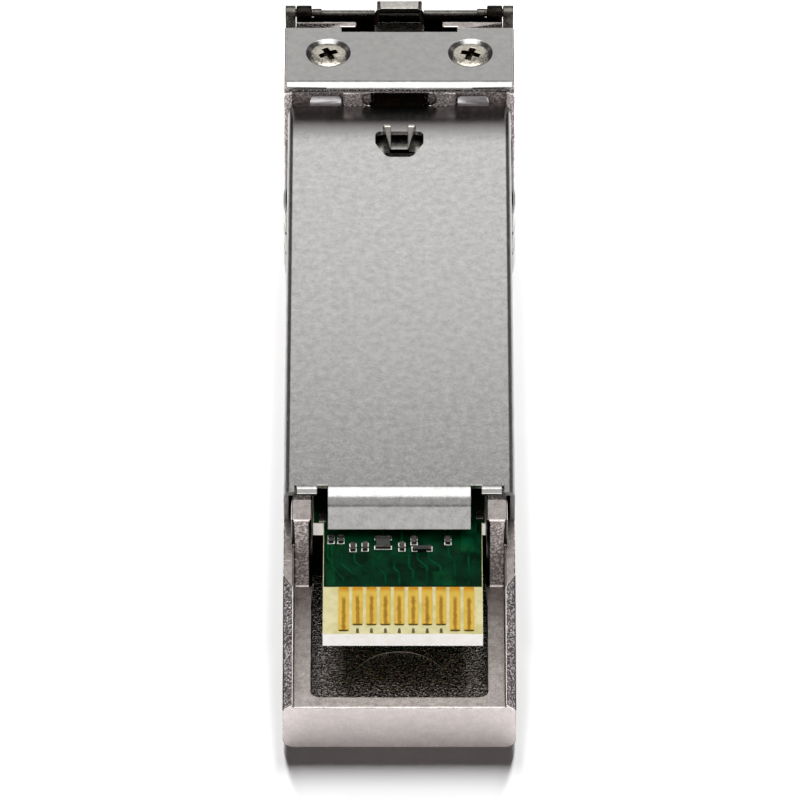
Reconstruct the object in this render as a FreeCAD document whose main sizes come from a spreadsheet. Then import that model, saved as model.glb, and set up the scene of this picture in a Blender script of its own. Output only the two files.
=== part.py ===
import FreeCAD, Part
import math
import os
import re
import Sketcher

# Pluggable optical transceiver module, lying on its top face with the latch side up.
# X runs across, Y from the rear edge connector to the fibre sockets, Z up.
# Stations are measured along Y from the rear end, levels along Z from the resting face.

DIMENSIONS = [
    ("total_length", 56.5, "rear end to the front of the bail handle"),
    ("rear_width", 13.4, "width of the part that slides into the cage"),
    ("head_width", 13.9, "width of the head outside the cage"),
    ("snout_width", 12.5, "width of the front end between the bail arms"),
    ("sheet", 0.3, "thickness of the cover and plate sheet"),
    ("past", 1.0, "how far a cut runs beyond the face that it starts from"),
    ("bite", 0.1, "how far joined bars run into each other"),
    ("body_top", 8.5, "level of the cover's outer face"),
    ("head_top", 10.1, "level of the latch plate's outer face"),
    ("stop_station", 47.5, "front stop, the rear face of the head"),
    ("head_end", 53.4, "front end of the wide head"),
    ("face_station", 55.4, "front face with the fibre sockets"),
    ("opening_station", 10.4, "end of the open rear bay"),
    ("lip_level", 3.13, "level of the band round the rear pocket"),
    ("floor_level", 1.2, "inner floor"),
    ("rear_wall", 0.96, "thickness of the rear end wall"),
    ("cavity_half", 5.05, "half width of the inside"),
    ("cavity_end", 44.9, "front wall of the inside"),
    ("ledge_rear", 13.5, "rear end of the rear board ledges"),
    ("ledge_short", 16.7, "front end of the rear board ledges"),
    ("ledge_front", 28.5, "rear end of the front board ledges"),
    ("skirt_inner", 6.1, "inner face of the rear skirts"),
    ("skirt_top", 6.3, "level of the skirts and of the cover's side flange edges"),
    ("skirt_bend", 6.7, "station where the skirts start to slope"),
    ("skirt_low", 3.4, "level of the skirts at the rear end"),
    ("post_end", 12.3, "front of the posts beside the rear opening"),
    ("post_half", 6.24, "outer side of the posts and of the rails under the cover"),
    ("post_gap", 13.2, "end of the gap behind the posts"),
    ("post_round", 0.2, "rounding of the posts' upright edges"),
    ("corner_round", 0.6, "rounding of the long lower edges"),
    ("pocket_round", 0.5, "rounding of the rear pocket's corners"),
    ("ridge_end", 54.0, "front of the ridge beyond the latch plate"),
    ("ridge_top", 9.75, "level of that ridge"),
    ("ridge_gap", 2.6, "half width of the gap in the ridge"),
    ("relief_end", 53.5, "front of the relief beside the plate's stepped middle"),
    ("snout_top", 8.93, "level of the front end"),
    ("groove_floor", 7.8, "level of the groove below the bail's crossbar"),
    ("groove_end", 55.28, "inner face of the lip in front of that groove"),
    ("lc_pitch", 6.25, "distance between the two fibre axes"),
    ("lc_level", 4.0, "level of the fibre axes"),
    ("socket_size", 4.8, "width and height of a fibre socket"),
    ("socket_end", 46.4, "back wall of the sockets"),
    ("latch_floor", 0.5, "level of the plug latch slots"),
    ("latch_half", 1.0, "half width of a plug latch slot"),
    ("catch_half", 1.7, "half width of the catch behind the slot"),
    ("catch_start", 49.5, "inner end of the catch"),
    ("catch_end", 52.5, "shoulder that the plug latch catches on"),
    ("lever_slot", 1.7, "half width of the lever's channel"),
    ("slot_floor", 6.75, "level of the channel below the lever's rear arm"),
    ("slot_end", 49.2, "front end of that deep channel"),
    ("channel_floor", 8.3, "level of the channel below the lever's front arm"),
    ("bridge_end", 48.1, "inner face of the head's rear wall"),
    ("head_round", 0.55, "rounding of the head's upper rear edge"),
    ("window_half", 2.2, "half width of the window in the head's rear wall"),
    ("window_top", 9.43, "upper edge of the window"),
    ("window_round", 0.38, "rounding of the window's ends"),
    ("recess_inner", 3.4, "inner side of the two recesses for the cover's front tabs"),
    ("recess_outer", 6.4, "outer side of those recesses"),
    ("recess_top", 9.5, "upper edge of those recesses"),
    ("cover_start", 12.55, "rear end of the cover's flanges"),
    ("cover_bend", 0.4, "outer bend radius of the cover's flanges"),
    ("tab_half", 4.15, "half width of the cover's rear tab"),
    ("slit_half", 4.75, "outer side of the slits beside the tab"),
    ("tab_root", 13.15, "station where the tab and the lips leave the flat sheet"),
    ("tab_corner", 12.33, "outer corner of the tab's bend before rounding"),
    ("tab_tip", 11.45, "station of the tab's tip"),
    ("tab_tip_level", 6.55, "level of the tab's tip"),
    ("tab_bend", 1.25, "outer bend radius of the tab and the lips"),
    ("lip_outer", 5.95, "outer side of the curled lips beside the tab"),
    ("lip_corner", 12.84, "outer corner of the lips' bend before rounding"),
    ("lip_tip", 12.563, "station of the lips' edge"),
    ("lip_tip_level", 8.354, "level of the lips' edge"),
    ("flange_inner", 6.05, "inner side of the flange corners beside the lips"),
    ("hole_front", 45.12, "front edge of the prong hole"),
    ("hole_step", 44.0, "station where the hole starts to taper"),
    ("hole_rear", 42.75, "rear edge of the prong hole"),
    ("hole_half", 1.42, "half width of the hole at its front"),
    ("hole_tip_half", 0.75, "half width of the hole at its rear"),
    ("hole_round", 0.4, "rounding of the hole's corners"),
    ("front_tab_end", 5.4, "outer side of the cover's front tabs"),
    ("front_tab_top", 8.81, "upper edge of the cover's front tabs"),
    ("front_tab_station", 48.03, "front end of the sloping front tabs"),
    ("plate_half", 6.8, "half width of the latch plate"),
    ("plate_front", 52.95, "front edge of the latch plate at its sides"),
    ("plate_middle", 52.6, "front edge of the latch plate in the middle"),
    ("plate_step", 3.5, "half width of the stepped middle"),
    ("notch_half", 4.4, "half width of the longer curled edge"),
    ("plate_bend", 0.75, "outer bend radius of the plate's curled rear edge"),
    ("plate_corner", 47.666, "outer corner of that bend before rounding"),
    ("plate_tip", 47.42, "station of the curled edge"),
    ("plate_tip_level", 9.83, "level of the curled edge"),
    ("plate_short", 47.52, "station of the curled edge at the plate's sides"),
    ("screw_across", 4.29, "distance of a screw from the middle"),
    ("screw_station", 50.58, "station of the screws"),
    ("screw_bore", 0.7, "shank radius of a screw"),
    ("screw_seat", 0.85, "small radius of the countersink"),
    ("screw_sink", 1.35, "large radius of the countersink"),
    ("screw_head", 1.05, "radius of the screw head's rim"),
    ("screw_crown", 0.6, "radius of the screw head's flat crown"),
    ("screw_drop", 0.02, "depth of the screw's crown below the plate"),
    ("screw_end", 7.2, "level of the screw's tip"),
    ("screw_point", 0.3, "chamfer of the screw's tip"),
    ("recess_arm", 0.55, "half length of the cross recess"),
    ("recess_slot", 0.15, "half width of the cross recess"),
    ("recess_deep", 0.5, "depth of the cross recess"),
    ("lever_half", 1.5, "half width of the lever"),
    ("lever_pivot", 49.3, "station of the lever's trunnions"),
    ("lever_axis", 9.35, "level of the lever's trunnions"),
    ("trunnion", 0.4, "radius of the trunnions"),
    ("trunnion_half", 2.5, "half length across both trunnions"),
    ("end_play", 0.1, "clearance at the trunnions' ends"),
    ("running", 0.04, "radial clearance of the pivots"),
    ("arm_low", 7.55, "underside of the lever's rear arm"),
    ("arm_thick", 0.3, "thickness of the lever's arms"),
    ("arm_high", 8.85, "underside of the lever's front arm"),
    ("riser_rear", 48.5, "rear side of the riser between the lever's arms"),
    ("riser_front", 48.9, "front side of the riser"),
    ("block_front", 50.0, "front end of the block round the trunnions"),
    ("block_top", 9.6, "upper face of the block round the trunnions"),
    ("prong_rear", 43.9, "rear end of the lever"),
    ("prong_station", 44.9, "catching face of the prongs"),
    ("prong_top", 9.22, "level of the prong tips"),
    ("prong_inner", 0.5, "inner side of a prong"),
    ("prong_outer", 1.0, "outer side of a prong at its catching face"),
    ("prong_point", 0.58, "outer side of a prong at its rear point"),
    ("prong_flat", 0.2, "length of the flat on a prong"),
    ("hook_rear", 54.4, "rear edge of the hood at the lever's front end"),
    ("hook_front", 55.45, "front face of the hood"),
    ("hook_top", 10.45, "upper face of the hood"),
    ("hook_under", 9.57, "underside of the hood's sides above the crossbar"),
    ("hook_round", 0.5, "rounding of the hood's upper edges"),
    ("hood_wall", 0.25, "wall of the hood"),
    ("leaf_thick", 0.12, "thickness of the leaf spring below the lever"),
    ("leaf_half", 1.5, "half width of the leaf spring"),
    ("leaf_foot", 48.7, "front end of the leaf spring's foot"),
    ("leaf_bend", 47.2, "station where the leaf leaves the channel floor"),
    ("leaf_crest", 45.35, "station where the leaf bears on the lever"),
    ("leaf_tip", 44.7, "rear tip of the leaf"),
    ("leaf_drop", 0.22, "how far the tip curls down from the crest"),
    ("leaf_round", 0.6, "bend radius of the leaf"),
    ("pivot_station", 54.9, "station of the bail's pivot"),
    ("pivot_level", 9.7, "level of the bail's pivot"),
    ("crank_throw", 0.44, "offset of the bail's crossbar, forward and down"),
    ("journal", 0.25, "radius of the bail's journals"),
    ("crossbar", 0.23, "radius of the bail's crossbar"),
    ("ear_inner", 5.3, "inner side of the pivot ears"),
    ("ear_round", 0.46, "outer radius of the pivot ears and bail ends"),
    ("ear_mouth", 0.22, "half height of the ears' snap-in mouth"),
    ("arm_inner", 6.33, "inner side of the bail arms"),
    ("arm_outer", 6.92, "outer side of the bail arms"),
    ("web_inner", 4.7, "inner side of the crank webs"),
    ("web_outer", 5.2, "outer side of the crank webs"),
    ("web_round", 0.27, "rounding of the crank webs"),
    ("shoulder", 0.4, "radius of the shoulders between arms and ears"),
    ("shoulder_inner", 6.28, "inner face of the shoulders"),
    ("handle_radius", 0.36, "radius of the bail's handle bar"),
    ("handle_end", 0.45, "rounding of the arms' lower ends"),
    ("handle_level", 0.75, "level of the handle bar"),
    ("emi_thick", 0.15, "thickness of the side springs"),
    ("emi_front", 47.2, "front end of the side springs"),
    ("emi_rear", 40.4, "rear end of the side springs"),
    ("emi_low", 1.3, "lower edge of the side springs"),
    ("emi_high", 6.0, "upper edge of the side springs"),
    ("emi_bump", 41.8, "station of the springs' contact bump"),
    ("emi_rise", 0.1, "height of the contact bump"),
    ("emi_foot", 1.3, "half length of the contact bump"),
    ("emi_crown", 0.4, "half length of the bump's crown"),
    ("emi_root", 45.4, "station where the fingers start"),
    ("emi_slit", 0.2, "width of the slits between fingers"),
    ("board_rear", 3.2, "rear edge of the circuit board"),
    ("board_front", 33.5, "front edge of the circuit board"),
    ("board_step", 12.7, "station where the board widens"),
    ("board_under", 5.0, "lower face of the board"),
    ("board_top", 5.95, "upper face of the board"),
    ("tongue_half", 4.6, "half width of the edge connector tongue"),
    ("tongue_shift", 0.2, "offset of the tongue to the right"),
    ("board_half", 5.0, "half width of the rest of the board"),
    ("ledge_inner", 4.4, "inner side of the ledges that carry the board"),
    ("pad_pitch", 0.8, "pitch of the edge contacts"),
    ("pad_half", 0.3, "half width of an edge contact"),
    ("pad_stagger", 0.2, "offset of each contact row from the tongue's middle"),
    ("pad_inner", 7.15, "inner end of the contacts"),
    ("pad_short", 3.95, "outer end of a signal contact"),
    ("pad_long", 3.44, "outer end of a contact that mates first"),
    ("pad_thick", 0.05, "height of a contact above the board"),
    ("chip_long", 0.6, "length of a chip component"),
    ("chip_short", 0.3, "width and height of a chip component"),
    ("coil_size", 1.0, "length and width of the largest chip component"),
    ("bar_long", 1.1, "length of the slim chip component"),
    ("bar_short", 0.35, "width of the slim chip component"),
    ("barrel_nose", 1.45, "radius of an optical barrel in its socket"),
    ("barrel_chamfer", 0.2, "chamfer of the barrel's tip"),
    ("barrel_tip", 50.9, "front end of the barrels"),
    ("barrel_flange", 1.9, "radius of the barrel flanges"),
    ("barrel_neck", 1.5, "radius of the neck that the clamp holds"),
    ("neck_front", 43.9, "front of the neck"),
    ("neck_rear", 42.9, "rear of the neck"),
    ("can_front", 42.3, "front of the can"),
    ("can_rear", 38.2, "rear of the can"),
    ("can_radius", 1.7, "radius of the can"),
    ("header_thick", 0.5, "thickness of the can's header"),
    ("sleeve_outer", 0.9, "outer radius of the ceramic sleeve"),
    ("sleeve_bore", 0.63, "bore for a fibre ferrule"),
    ("sleeve_rear", 45.2, "rear end of the sleeve"),
    ("sleeve_front", 50.6, "front end of the sleeve"),
    ("barrel_mouth", 0.82, "radius of the barrel's opening in front of the sleeve"),
    ("sleeve_slit", 0.08, "half width of the sleeve's slit"),
    ("flex_thick", 0.15, "thickness of a flexible circuit"),
    ("flex_half", 1.5, "half width of a flexible circuit"),
    ("flex_low", 2.8, "lower end of a flexible circuit"),
    ("flex_rear", 31.8, "end of a flexible circuit on the board"),
    ("clamp_half", 4.9, "half width of the optics clamp"),
    ("clamp_top", 6.4, "upper edge of the optics clamp"),
    ("controller_half", 2.5, "half width of the controller"),
    ("controller_station", 21.5, "station of the controller"),
    ("amp_half", 1.5, "half width of the driver and amplifier"),
    ("amp_station", 28.5, "station of the driver and amplifier"),
    ("package_height", 0.85, "height of the packages"),
]
# Contacts in a row, which of them reach further to the rear, and fingers of a side spring
PAD_COUNT = 10
LONG_BOTTOM_PADS = (0, 8, 9)
LONG_TOP_PADS = (3, 6, 9)
FINGER_COUNT = 3

# Chip components on the board: distance from the middle, station, width and depth
UPRIGHT = ("chip_short", "chip_long")
CAPACITOR_PLACES = [("-4.46", "13.1", *UPRIGHT), ("-2.68", "10.45", *UPRIGHT), ("-1.98", "10.5", *UPRIGHT),
                    ("0.15", "10.5", *UPRIGHT), ("0.85", "11.05", *UPRIGHT), ("2.81", "11.05", *UPRIGHT),
                    ("4.65", "13.35", *UPRIGHT)]
RESISTOR_PLACES = [("-3.95", "11.15", *UPRIGHT), ("-3.38", "11.15", *UPRIGHT),
                   ("-0.94", "10.85", "coil_size", "coil_size"), ("1.31", "10.35", "bar_long", "bar_short")]

ALIASES = {alias for alias, value, note in DIMENSIONS}

doc = FreeCAD.newDocument("TransceiverModule")
sheet = doc.addObject("Spreadsheet::Sheet", "Dim")
for row, (alias, value, note) in enumerate(DIMENSIONS, start=1):
    sheet.set("A%d" % row, str(value))
    sheet.setAlias("A%d" % row, alias)
    sheet.set("B%d" % row, note)
doc.recompute()

pieces = []


def bound(text):
    # Turns the sheet's alias names in a formula into references to its cells
    def reference(word):
        return "Dim." + word.group() if word.group() in ALIASES else word.group()
    return re.sub(r"[a-z][a-z_]+", reference, text)


def number(text):
    return float(sheet.evalExpression(bound(text)))


def piece(label, type_name="PartDesign::Body"):
    item = doc.addObject(type_name, label)
    item.Label = label
    pieces.append(item)
    return item


def group_piece(label):
    # A body that holds several separate solids of one kind
    body = piece(label)
    body.AllowCompound = True
    return body


def sketch_on(body, plane, offset, shift=("0", "0")):
    sketch = body.newObject("Sketcher::SketchObject", "Outline")
    support = [item for item in body.Origin.OriginFeatures if item.Role == plane][0]
    sketch.AttachmentSupport = [(support, "")]
    sketch.MapMode = "FlatFace"
    sketch.setExpression("AttachmentOffset.Base.x", bound(shift[0]))
    sketch.setExpression("AttachmentOffset.Base.y", bound(shift[1]))
    sketch.setExpression("AttachmentOffset.Base.z", bound(offset))
    return sketch


def place_point(sketch, geometry, point, formulas):
    for kind, formula in zip(("DistanceX", "DistanceY"), formulas):
        constraint = Sketcher.Constraint(kind, -1, 1, geometry, point, number(formula))
        index = sketch.addConstraint(constraint)
        sketch.setExpression("Constraints[%d]" % index, bound(formula))


def add_polygon(sketch, corners):
    first = sketch.GeometryCount
    places = [FreeCAD.Vector(number(u), number(v), 0) for u, v in corners]
    count = len(corners)
    for i in range(count):
        sketch.addGeometry(Part.LineSegment(places[i], places[(i + 1) % count]))
    for i in range(count):
        following = first + (i + 1) % count
        sketch.addConstraint(Sketcher.Constraint("Coincident", first + i, 2, following, 1))
    for i in range(count):
        place_point(sketch, first + i, 1, corners[i])


def add_circle(sketch, u, v, radius):
    centre = FreeCAD.Vector(number(u), number(v), 0)
    circle = Part.Circle(centre, FreeCAD.Vector(0, 0, 1), number(radius))
    geometry = sketch.addGeometry(circle)
    place_point(sketch, geometry, 3, (u, v))
    index = sketch.addConstraint(Sketcher.Constraint("Radius", geometry, number(radius)))
    sketch.setExpression("Constraints[%d]" % index, bound(radius))


def add_strap(sketch, near_end, far_end):
    # The outline round two circles and the tangents that join them
    (u0, v0, r0), (u1, v1, r1) = near_end, far_end
    first = sketch.GeometryCount
    start = FreeCAD.Vector(number(u0), number(v0), 0)
    end = FreeCAD.Vector(number(u1), number(v1), 0)
    heading = math.atan2(end.y - start.y, end.x - start.x)
    spread = math.acos((number(r0) - number(r1)) / start.distanceToPoint(end))
    up = FreeCAD.Vector(0, 0, 1)
    back = Part.ArcOfCircle(Part.Circle(start, up, number(r0)), heading + spread,
                            heading - spread + 2 * math.pi)
    front = Part.ArcOfCircle(Part.Circle(end, up, number(r1)), heading - spread, heading + spread)
    sketch.addGeometry(back)
    sketch.addGeometry(Part.LineSegment(back.EndPoint, front.StartPoint))
    sketch.addGeometry(front)
    sketch.addGeometry(Part.LineSegment(front.EndPoint, back.StartPoint))
    for i in range(4):
        following = first + (i + 1) % 4
        sketch.addConstraint(Sketcher.Constraint("Tangent", first + i, 2, following, 1))
    for geometry, (u, v, radius) in ((first, near_end), (first + 2, far_end)):
        place_point(sketch, geometry, 3, (u, v))
        index = sketch.addConstraint(Sketcher.Constraint("Radius", geometry, number(radius)))
        sketch.setExpression("Constraints[%d]" % index, bound(radius))


def rectangle(u0, u1, v0, v1):
    return [(u0, v0), (u1, v0), (u1, v1), (u0, v1)]


def bent_strip(root, corner, tip, level, tip_level):
    # Section of a sheet that runs level from its root and is bent down at a corner towards its tip
    run = "(%s - %s)" % (corner, tip)
    fall = "(%s - %s)" % (level, tip_level)
    slant = "sqrt(%s ^ 2 + %s ^ 2)" % (run, fall)
    outer = [(root, level), (corner, level), (tip, tip_level)]
    inner = [("%s + sheet * %s / %s" % (tip, fall, slant), "%s - sheet * %s / %s" % (tip_level, run, slant)),
             ("%s + sheet * (%s - %s) / %s" % (corner, slant, run, fall), level + " - sheet"),
             (root, level + " - sheet")]
    return outer + inner


def both_sides(u0, u1, v0, v1):
    # One rectangle and its mirror image across the middle
    return [rectangle(u0, u1, v0, v1), rectangle("-(%s)" % u1, "-(%s)" % u0, v0, v1)]


def extrude(body, kind, sketch, length, symmetric=False, reverse=False):
    before = body.Shape.Volume if kind == "Pocket" else 0.0
    feature = body.newObject("PartDesign::" + kind, kind)
    feature.Profile = sketch
    feature.setExpression("Length", bound(length))
    feature.SideType = "Symmetric" if symmetric else "One side"
    feature.Reversed = reverse
    doc.recompute()
    if kind == "Pocket" and not body.Shape.Volume < before - 1e-6:
        raise RuntimeError("a pocket in %s cuts nothing" % body.Label)
    return feature


def prism(body, kind, plane, outlines, length, offset="0", symmetric=False, reverse=False):
    sketch = sketch_on(body, plane, offset)
    for outline in outlines:
        add_polygon(sketch, outline)
    return extrude(body, kind, sketch, length, symmetric, reverse)


def disc(body, kind, plane, circles, length, offset="0", symmetric=False, reverse=False):
    sketch = sketch_on(body, plane, offset)
    for u, v, radius in circles:
        add_circle(sketch, u, v, radius)
    return extrude(body, kind, sketch, length, symmetric, reverse)


def strap(body, near_end, far_end, length, offset):
    sketch = sketch_on(body, "YZ_Plane", offset)
    add_strap(sketch, near_end, far_end)
    return extrude(body, "Pad", sketch, length)


def cut_down(body, outlines, top, bottom):
    return prism(body, "Pocket", "XY_Plane", outlines, "(%s) - (%s)" % (top, bottom), offset=top)


def raise_up(body, outlines, bottom, top):
    return prism(body, "Pad", "XY_Plane", outlines, "(%s) - (%s)" % (top, bottom), offset=bottom)


def turn(body, kind, plane, outline, axis, offset="0", shift=("0", "0")):
    # A shape of revolution about the sketch's own horizontal or vertical axis
    sketch = sketch_on(body, plane, offset, shift)
    add_polygon(sketch, outline)
    feature = body.newObject("PartDesign::" + kind, kind)
    feature.Profile = sketch
    feature.ReferenceAxis = (sketch, [axis])
    doc.recompute()
    return feature


def round_edges(body, radius, chosen):
    # Rounds the edges whose middle and direction the chooser accepts
    names = []
    for index, edge in enumerate(body.Shape.Edges, start=1):
        if edge.Curve.TypeId != "Part::GeomLine":
            continue
        middle = edge.valueAt((edge.FirstParameter + edge.LastParameter) / 2)
        direction = edge.tangentAt(edge.FirstParameter)
        middle.y += number("total_length / 2")
        if chosen(middle, direction):
            names.append("Edge%d" % index)
    if not names:
        raise RuntimeError("no edge of %s to round" % body.Label)
    base = body.Tip
    feature = body.newObject("PartDesign::Fillet", "Fillet")
    feature.Base = (base, names)
    feature.setExpression("Radius", bound(radius))
    doc.recompute()
    if "Invalid" in feature.State or not body.Shape.isValid():
        raise RuntimeError("the rounding of %s fails" % body.Label)
    return feature


def round_bend(body, strip, radius):
    # Rounds a bent strip outside with the radius and inside with what the sheet leaves of it
    for (station, level), size in ((strip[1], radius), (strip[4], radius + " - sheet")):
        round_edges(body, size, lambda at, way: along(way, "x") and near(at.y, station, 0.005)
                    and near(at.z, level, 0.005))


def near(value, formula, slack=0.02):
    return abs(value - number(formula)) < slack


def along(direction, axis):
    return abs(getattr(direction, axis)) > 0.99


def place(item):
    item.setExpression("Placement.Base.y", bound("-total_length / 2"))


def build_housing():
    body = piece("housing")
    place(body)
    rail_top = "body_top - sheet"
    plate_under = "head_top - sheet"
    side_profile = [("0", "0"), ("stop_station", "0"), ("stop_station", rail_top),
                    ("opening_station", rail_top), ("opening_station", "skirt_top"),
                    ("skirt_bend", "skirt_top"), ("0", "skirt_low")]
    prism(body, "Pad", "YZ_Plane", [side_profile], "rear_width", symmetric=True)
    round_edges(body, "corner_round", lambda at, way: along(way, "y") and near(at.z, "0"))
    head = rectangle("stop_station", "head_end", "0", plate_under)
    prism(body, "Pad", "YZ_Plane", [head], "head_width", symmetric=True)
    round_edges(body, "head_round", lambda at, way: along(way, "x") and near(at.y, "stop_station")
                and near(at.z, plate_under))
    snout = [("head_end", "0"), ("face_station", "0"), ("face_station", "snout_top"),
             ("ridge_end", "snout_top"), ("ridge_end", "ridge_top"), ("head_end", "ridge_top")]
    prism(body, "Pad", "YZ_Plane", [snout], "snout_width", symmetric=True)
    # Open rear bay, inner cavity and the rebates for the cover's flanges
    cut_down(body, [rectangle("-skirt_inner", "skirt_inner", "-past", "opening_station")],
             rail_top, "lip_level")
    cut_down(body, [rectangle("-cavity_half", "cavity_half", "rear_wall", "cavity_end")],
             rail_top, "floor_level")
    round_edges(body, "pocket_round", lambda at, way: along(way, "z") and near(at.y, "rear_wall"))
    cut_down(body, both_sides("post_half", "rear_width", "opening_station", "stop_station"),
             rail_top, "skirt_top")
    # Posts beside the rear opening, with a gap behind them and rounded upright edges
    cut_down(body, both_sides("cavity_half - bite", "rear_width", "post_end", "post_gap"),
             rail_top, "skirt_top")
    for side in ("cavity_half", "post_half"):
        round_edges(body, "post_round", lambda at, way: along(way, "z") and near(at.y, "opening_station")
                    and near(abs(at.x), side))
    # Ledges that carry the circuit board
    for start, end in (("ledge_rear", "ledge_short"), ("ledge_front", "board_front")):
        raise_up(body, both_sides("ledge_inner", "cavity_half", start, end),
                 "floor_level", "board_under")
    # Fibre sockets with the slots and catches for the plug latches
    middle = "lc_pitch / 2"
    cut_down(body, both_sides(middle + " - socket_size / 2", middle + " + socket_size / 2",
                              "socket_end", "face_station + past"),
             "lc_level + socket_size / 2", "lc_level - socket_size / 2")
    cut_down(body, both_sides(middle + " - latch_half", middle + " + latch_half",
                              "catch_start", "face_station + past"),
             "lc_level - socket_size / 2", "latch_floor")
    cut_down(body, both_sides(middle + " - catch_half", middle + " + catch_half",
                              "catch_start", "catch_end"),
             "lc_level - socket_size / 2", "latch_floor")
    disc(body, "Pocket", "XZ_Plane", [(middle, "lc_level", "barrel_nose + running"),
                                      ("-" + middle, "lc_level", "barrel_nose + running")],
         "socket_end - cavity_end + 2 * past", offset="-socket_end - past", reverse=True)
    # Channel, window and bearings of the latch lever
    cut_down(body, [rectangle("-lever_slot", "lever_slot", "cavity_end - past", "slot_end")],
             "body_top", "slot_floor")
    cut_down(body, [rectangle("-lever_slot", "lever_slot", "bridge_end", "groove_end")],
             plate_under, "channel_floor")
    cut_down(body, [rectangle("-window_half", "window_half", "stop_station - past", "bridge_end")],
             "window_top", "body_top")
    round_edges(body, "window_round", lambda at, way: along(way, "y") and at.y < number("bridge_end")
                and near(abs(at.x), "window_half") and at.z > number("body_top - sheet / 2"))
    cut_down(body, both_sides("recess_inner", "recess_outer", "stop_station - past", "bridge_end"),
             "recess_top", rail_top)
    bearing = "trunnion + running"
    cut_down(body, [rectangle("-trunnion_half - end_play", "trunnion_half + end_play",
                              "lever_pivot - " + bearing, "lever_pivot + " + bearing)],
             plate_under, "lever_axis")
    disc(body, "Pocket", "YZ_Plane", [("lever_pivot", "lever_axis", bearing)],
         "2 * (trunnion_half + end_play)", symmetric=True)
    disc(body, "Pocket", "XY_Plane", [("screw_across", "screw_station", "screw_bore"),
                                      ("-screw_across", "screw_station", "screw_bore")],
         "head_top - sheet - screw_end", offset=plate_under)
    # Groove for the crossbar and the wells beside the lever's front arm
    cut_down(body, [rectangle("-ear_inner", "ear_inner", "ridge_end", "groove_end")],
             "snout_top", "groove_floor")
    for half, end in (("ridge_gap", "ridge_end + bite"), ("plate_step", "relief_end")):
        cut_down(body, [rectangle("-" + half, half, "plate_middle", end)], plate_under, "groove_floor")
    # Ears with snap-in bearings for the bail
    for start in ("ear_inner", "-snout_width / 2"):
        strap(body, ("pivot_station", "pivot_level", "ear_round"),
              ("pivot_station", "snout_top - past", "ear_round"), "snout_width / 2 - ear_inner", start)
    disc(body, "Pocket", "YZ_Plane", [("pivot_station", "pivot_level", "journal + running")],
         "head_width", symmetric=True)
    mouth = rectangle("pivot_station", "pivot_station + past", "pivot_level - ear_mouth",
                      "pivot_level + ear_mouth")
    prism(body, "Pocket", "YZ_Plane", [mouth], "head_width", symmetric=True)


def build_cover():
    body = piece("bottom_cover")
    place(body)
    under = "body_top - sheet"
    half = "rear_width / 2"
    raise_up(body, [rectangle("-" + half, half, "cover_start", "stop_station")], "skirt_top", "body_top")
    round_edges(body, "cover_bend", lambda at, way: along(way, "y") and near(at.z, "body_top"))
    cut_down(body, [rectangle("-(rear_width / 2 - sheet)", "rear_width / 2 - sheet",
                              "cover_start - past", "stop_station + past")], under, "skirt_top")
    # Rear tab bent down between two slits, and a curled lip on each side of it
    cut_down(body, [rectangle("-flange_inner", "flange_inner", "cover_start - past", "tab_root")],
             "body_top", "skirt_top")
    tab = bent_strip("tab_root", "tab_corner", "tab_tip", "body_top", "tab_tip_level")
    prism(body, "Pad", "YZ_Plane", [tab], "2 * tab_half", symmetric=True)
    round_bend(body, tab, "tab_bend")
    lip = bent_strip("tab_root", "lip_corner", "lip_tip", "body_top", "lip_tip_level")
    for start in ("slit_half", "-lip_outer"):
        prism(body, "Pad", "YZ_Plane", [lip], "lip_outer - slit_half", offset=start)
    round_bend(body, lip, "tab_bend")
    # Hole for the latch prongs
    hole = [("-hole_half", "hole_front"), ("-hole_half", "hole_step"), ("-hole_tip_half", "hole_rear"),
            ("hole_tip_half", "hole_rear"), ("hole_half", "hole_step"), ("hole_half", "hole_front")]
    cut_down(body, [hole], "body_top", under)
    round_edges(body, "hole_round", lambda at, way: along(way, "z")
                and abs(at.x) < number("hole_half + bite")
                and number("hole_rear - bite") < at.y < number("hole_front + bite"))
    # Front tabs that slope up into the recesses of the head
    slope = [("stop_station - sheet", under), ("stop_station", under),
             ("front_tab_station", "front_tab_top - sheet"), ("front_tab_station", "front_tab_top"),
             ("stop_station", "body_top"), ("stop_station - sheet", "body_top")]
    inner = "recess_inner + sheet / 4"
    for start in (inner, "-front_tab_end"):
        prism(body, "Pad", "YZ_Plane", [slope], "front_tab_end - (%s)" % inner, offset=start)
    round_edges(body, "sheet", lambda at, way: along(way, "z") and near(at.y, "front_tab_station"))


def build_plate():
    # Flat sheet with a curled rear edge, a stepped front edge and two countersunk holes
    body = piece("latch_plate")
    place(body)
    under = "head_top - sheet"
    section = bent_strip("plate_front", "plate_corner", "plate_tip", "head_top", "plate_tip_level")
    prism(body, "Pad", "YZ_Plane", [section], "2 * plate_half", symmetric=True)
    round_bend(body, section, "plate_bend")
    cut_down(body, both_sides("notch_half", "plate_half + past", "plate_tip - past", "plate_short"),
             "head_top", "head_top - past")
    cut_down(body, [rectangle("-plate_step", "plate_step", "plate_middle", "plate_front + past")],
             "head_top", under)
    sink = [("0", "0"), ("screw_sink", "0"), ("screw_seat", "-sheet"), ("0", "-sheet")]
    for across in ("screw_across", "-screw_across"):
        turn(body, "Groove", "YZ_Plane", sink, "V_Axis", offset=across,
             shift=("screw_station", "head_top"))


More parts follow.
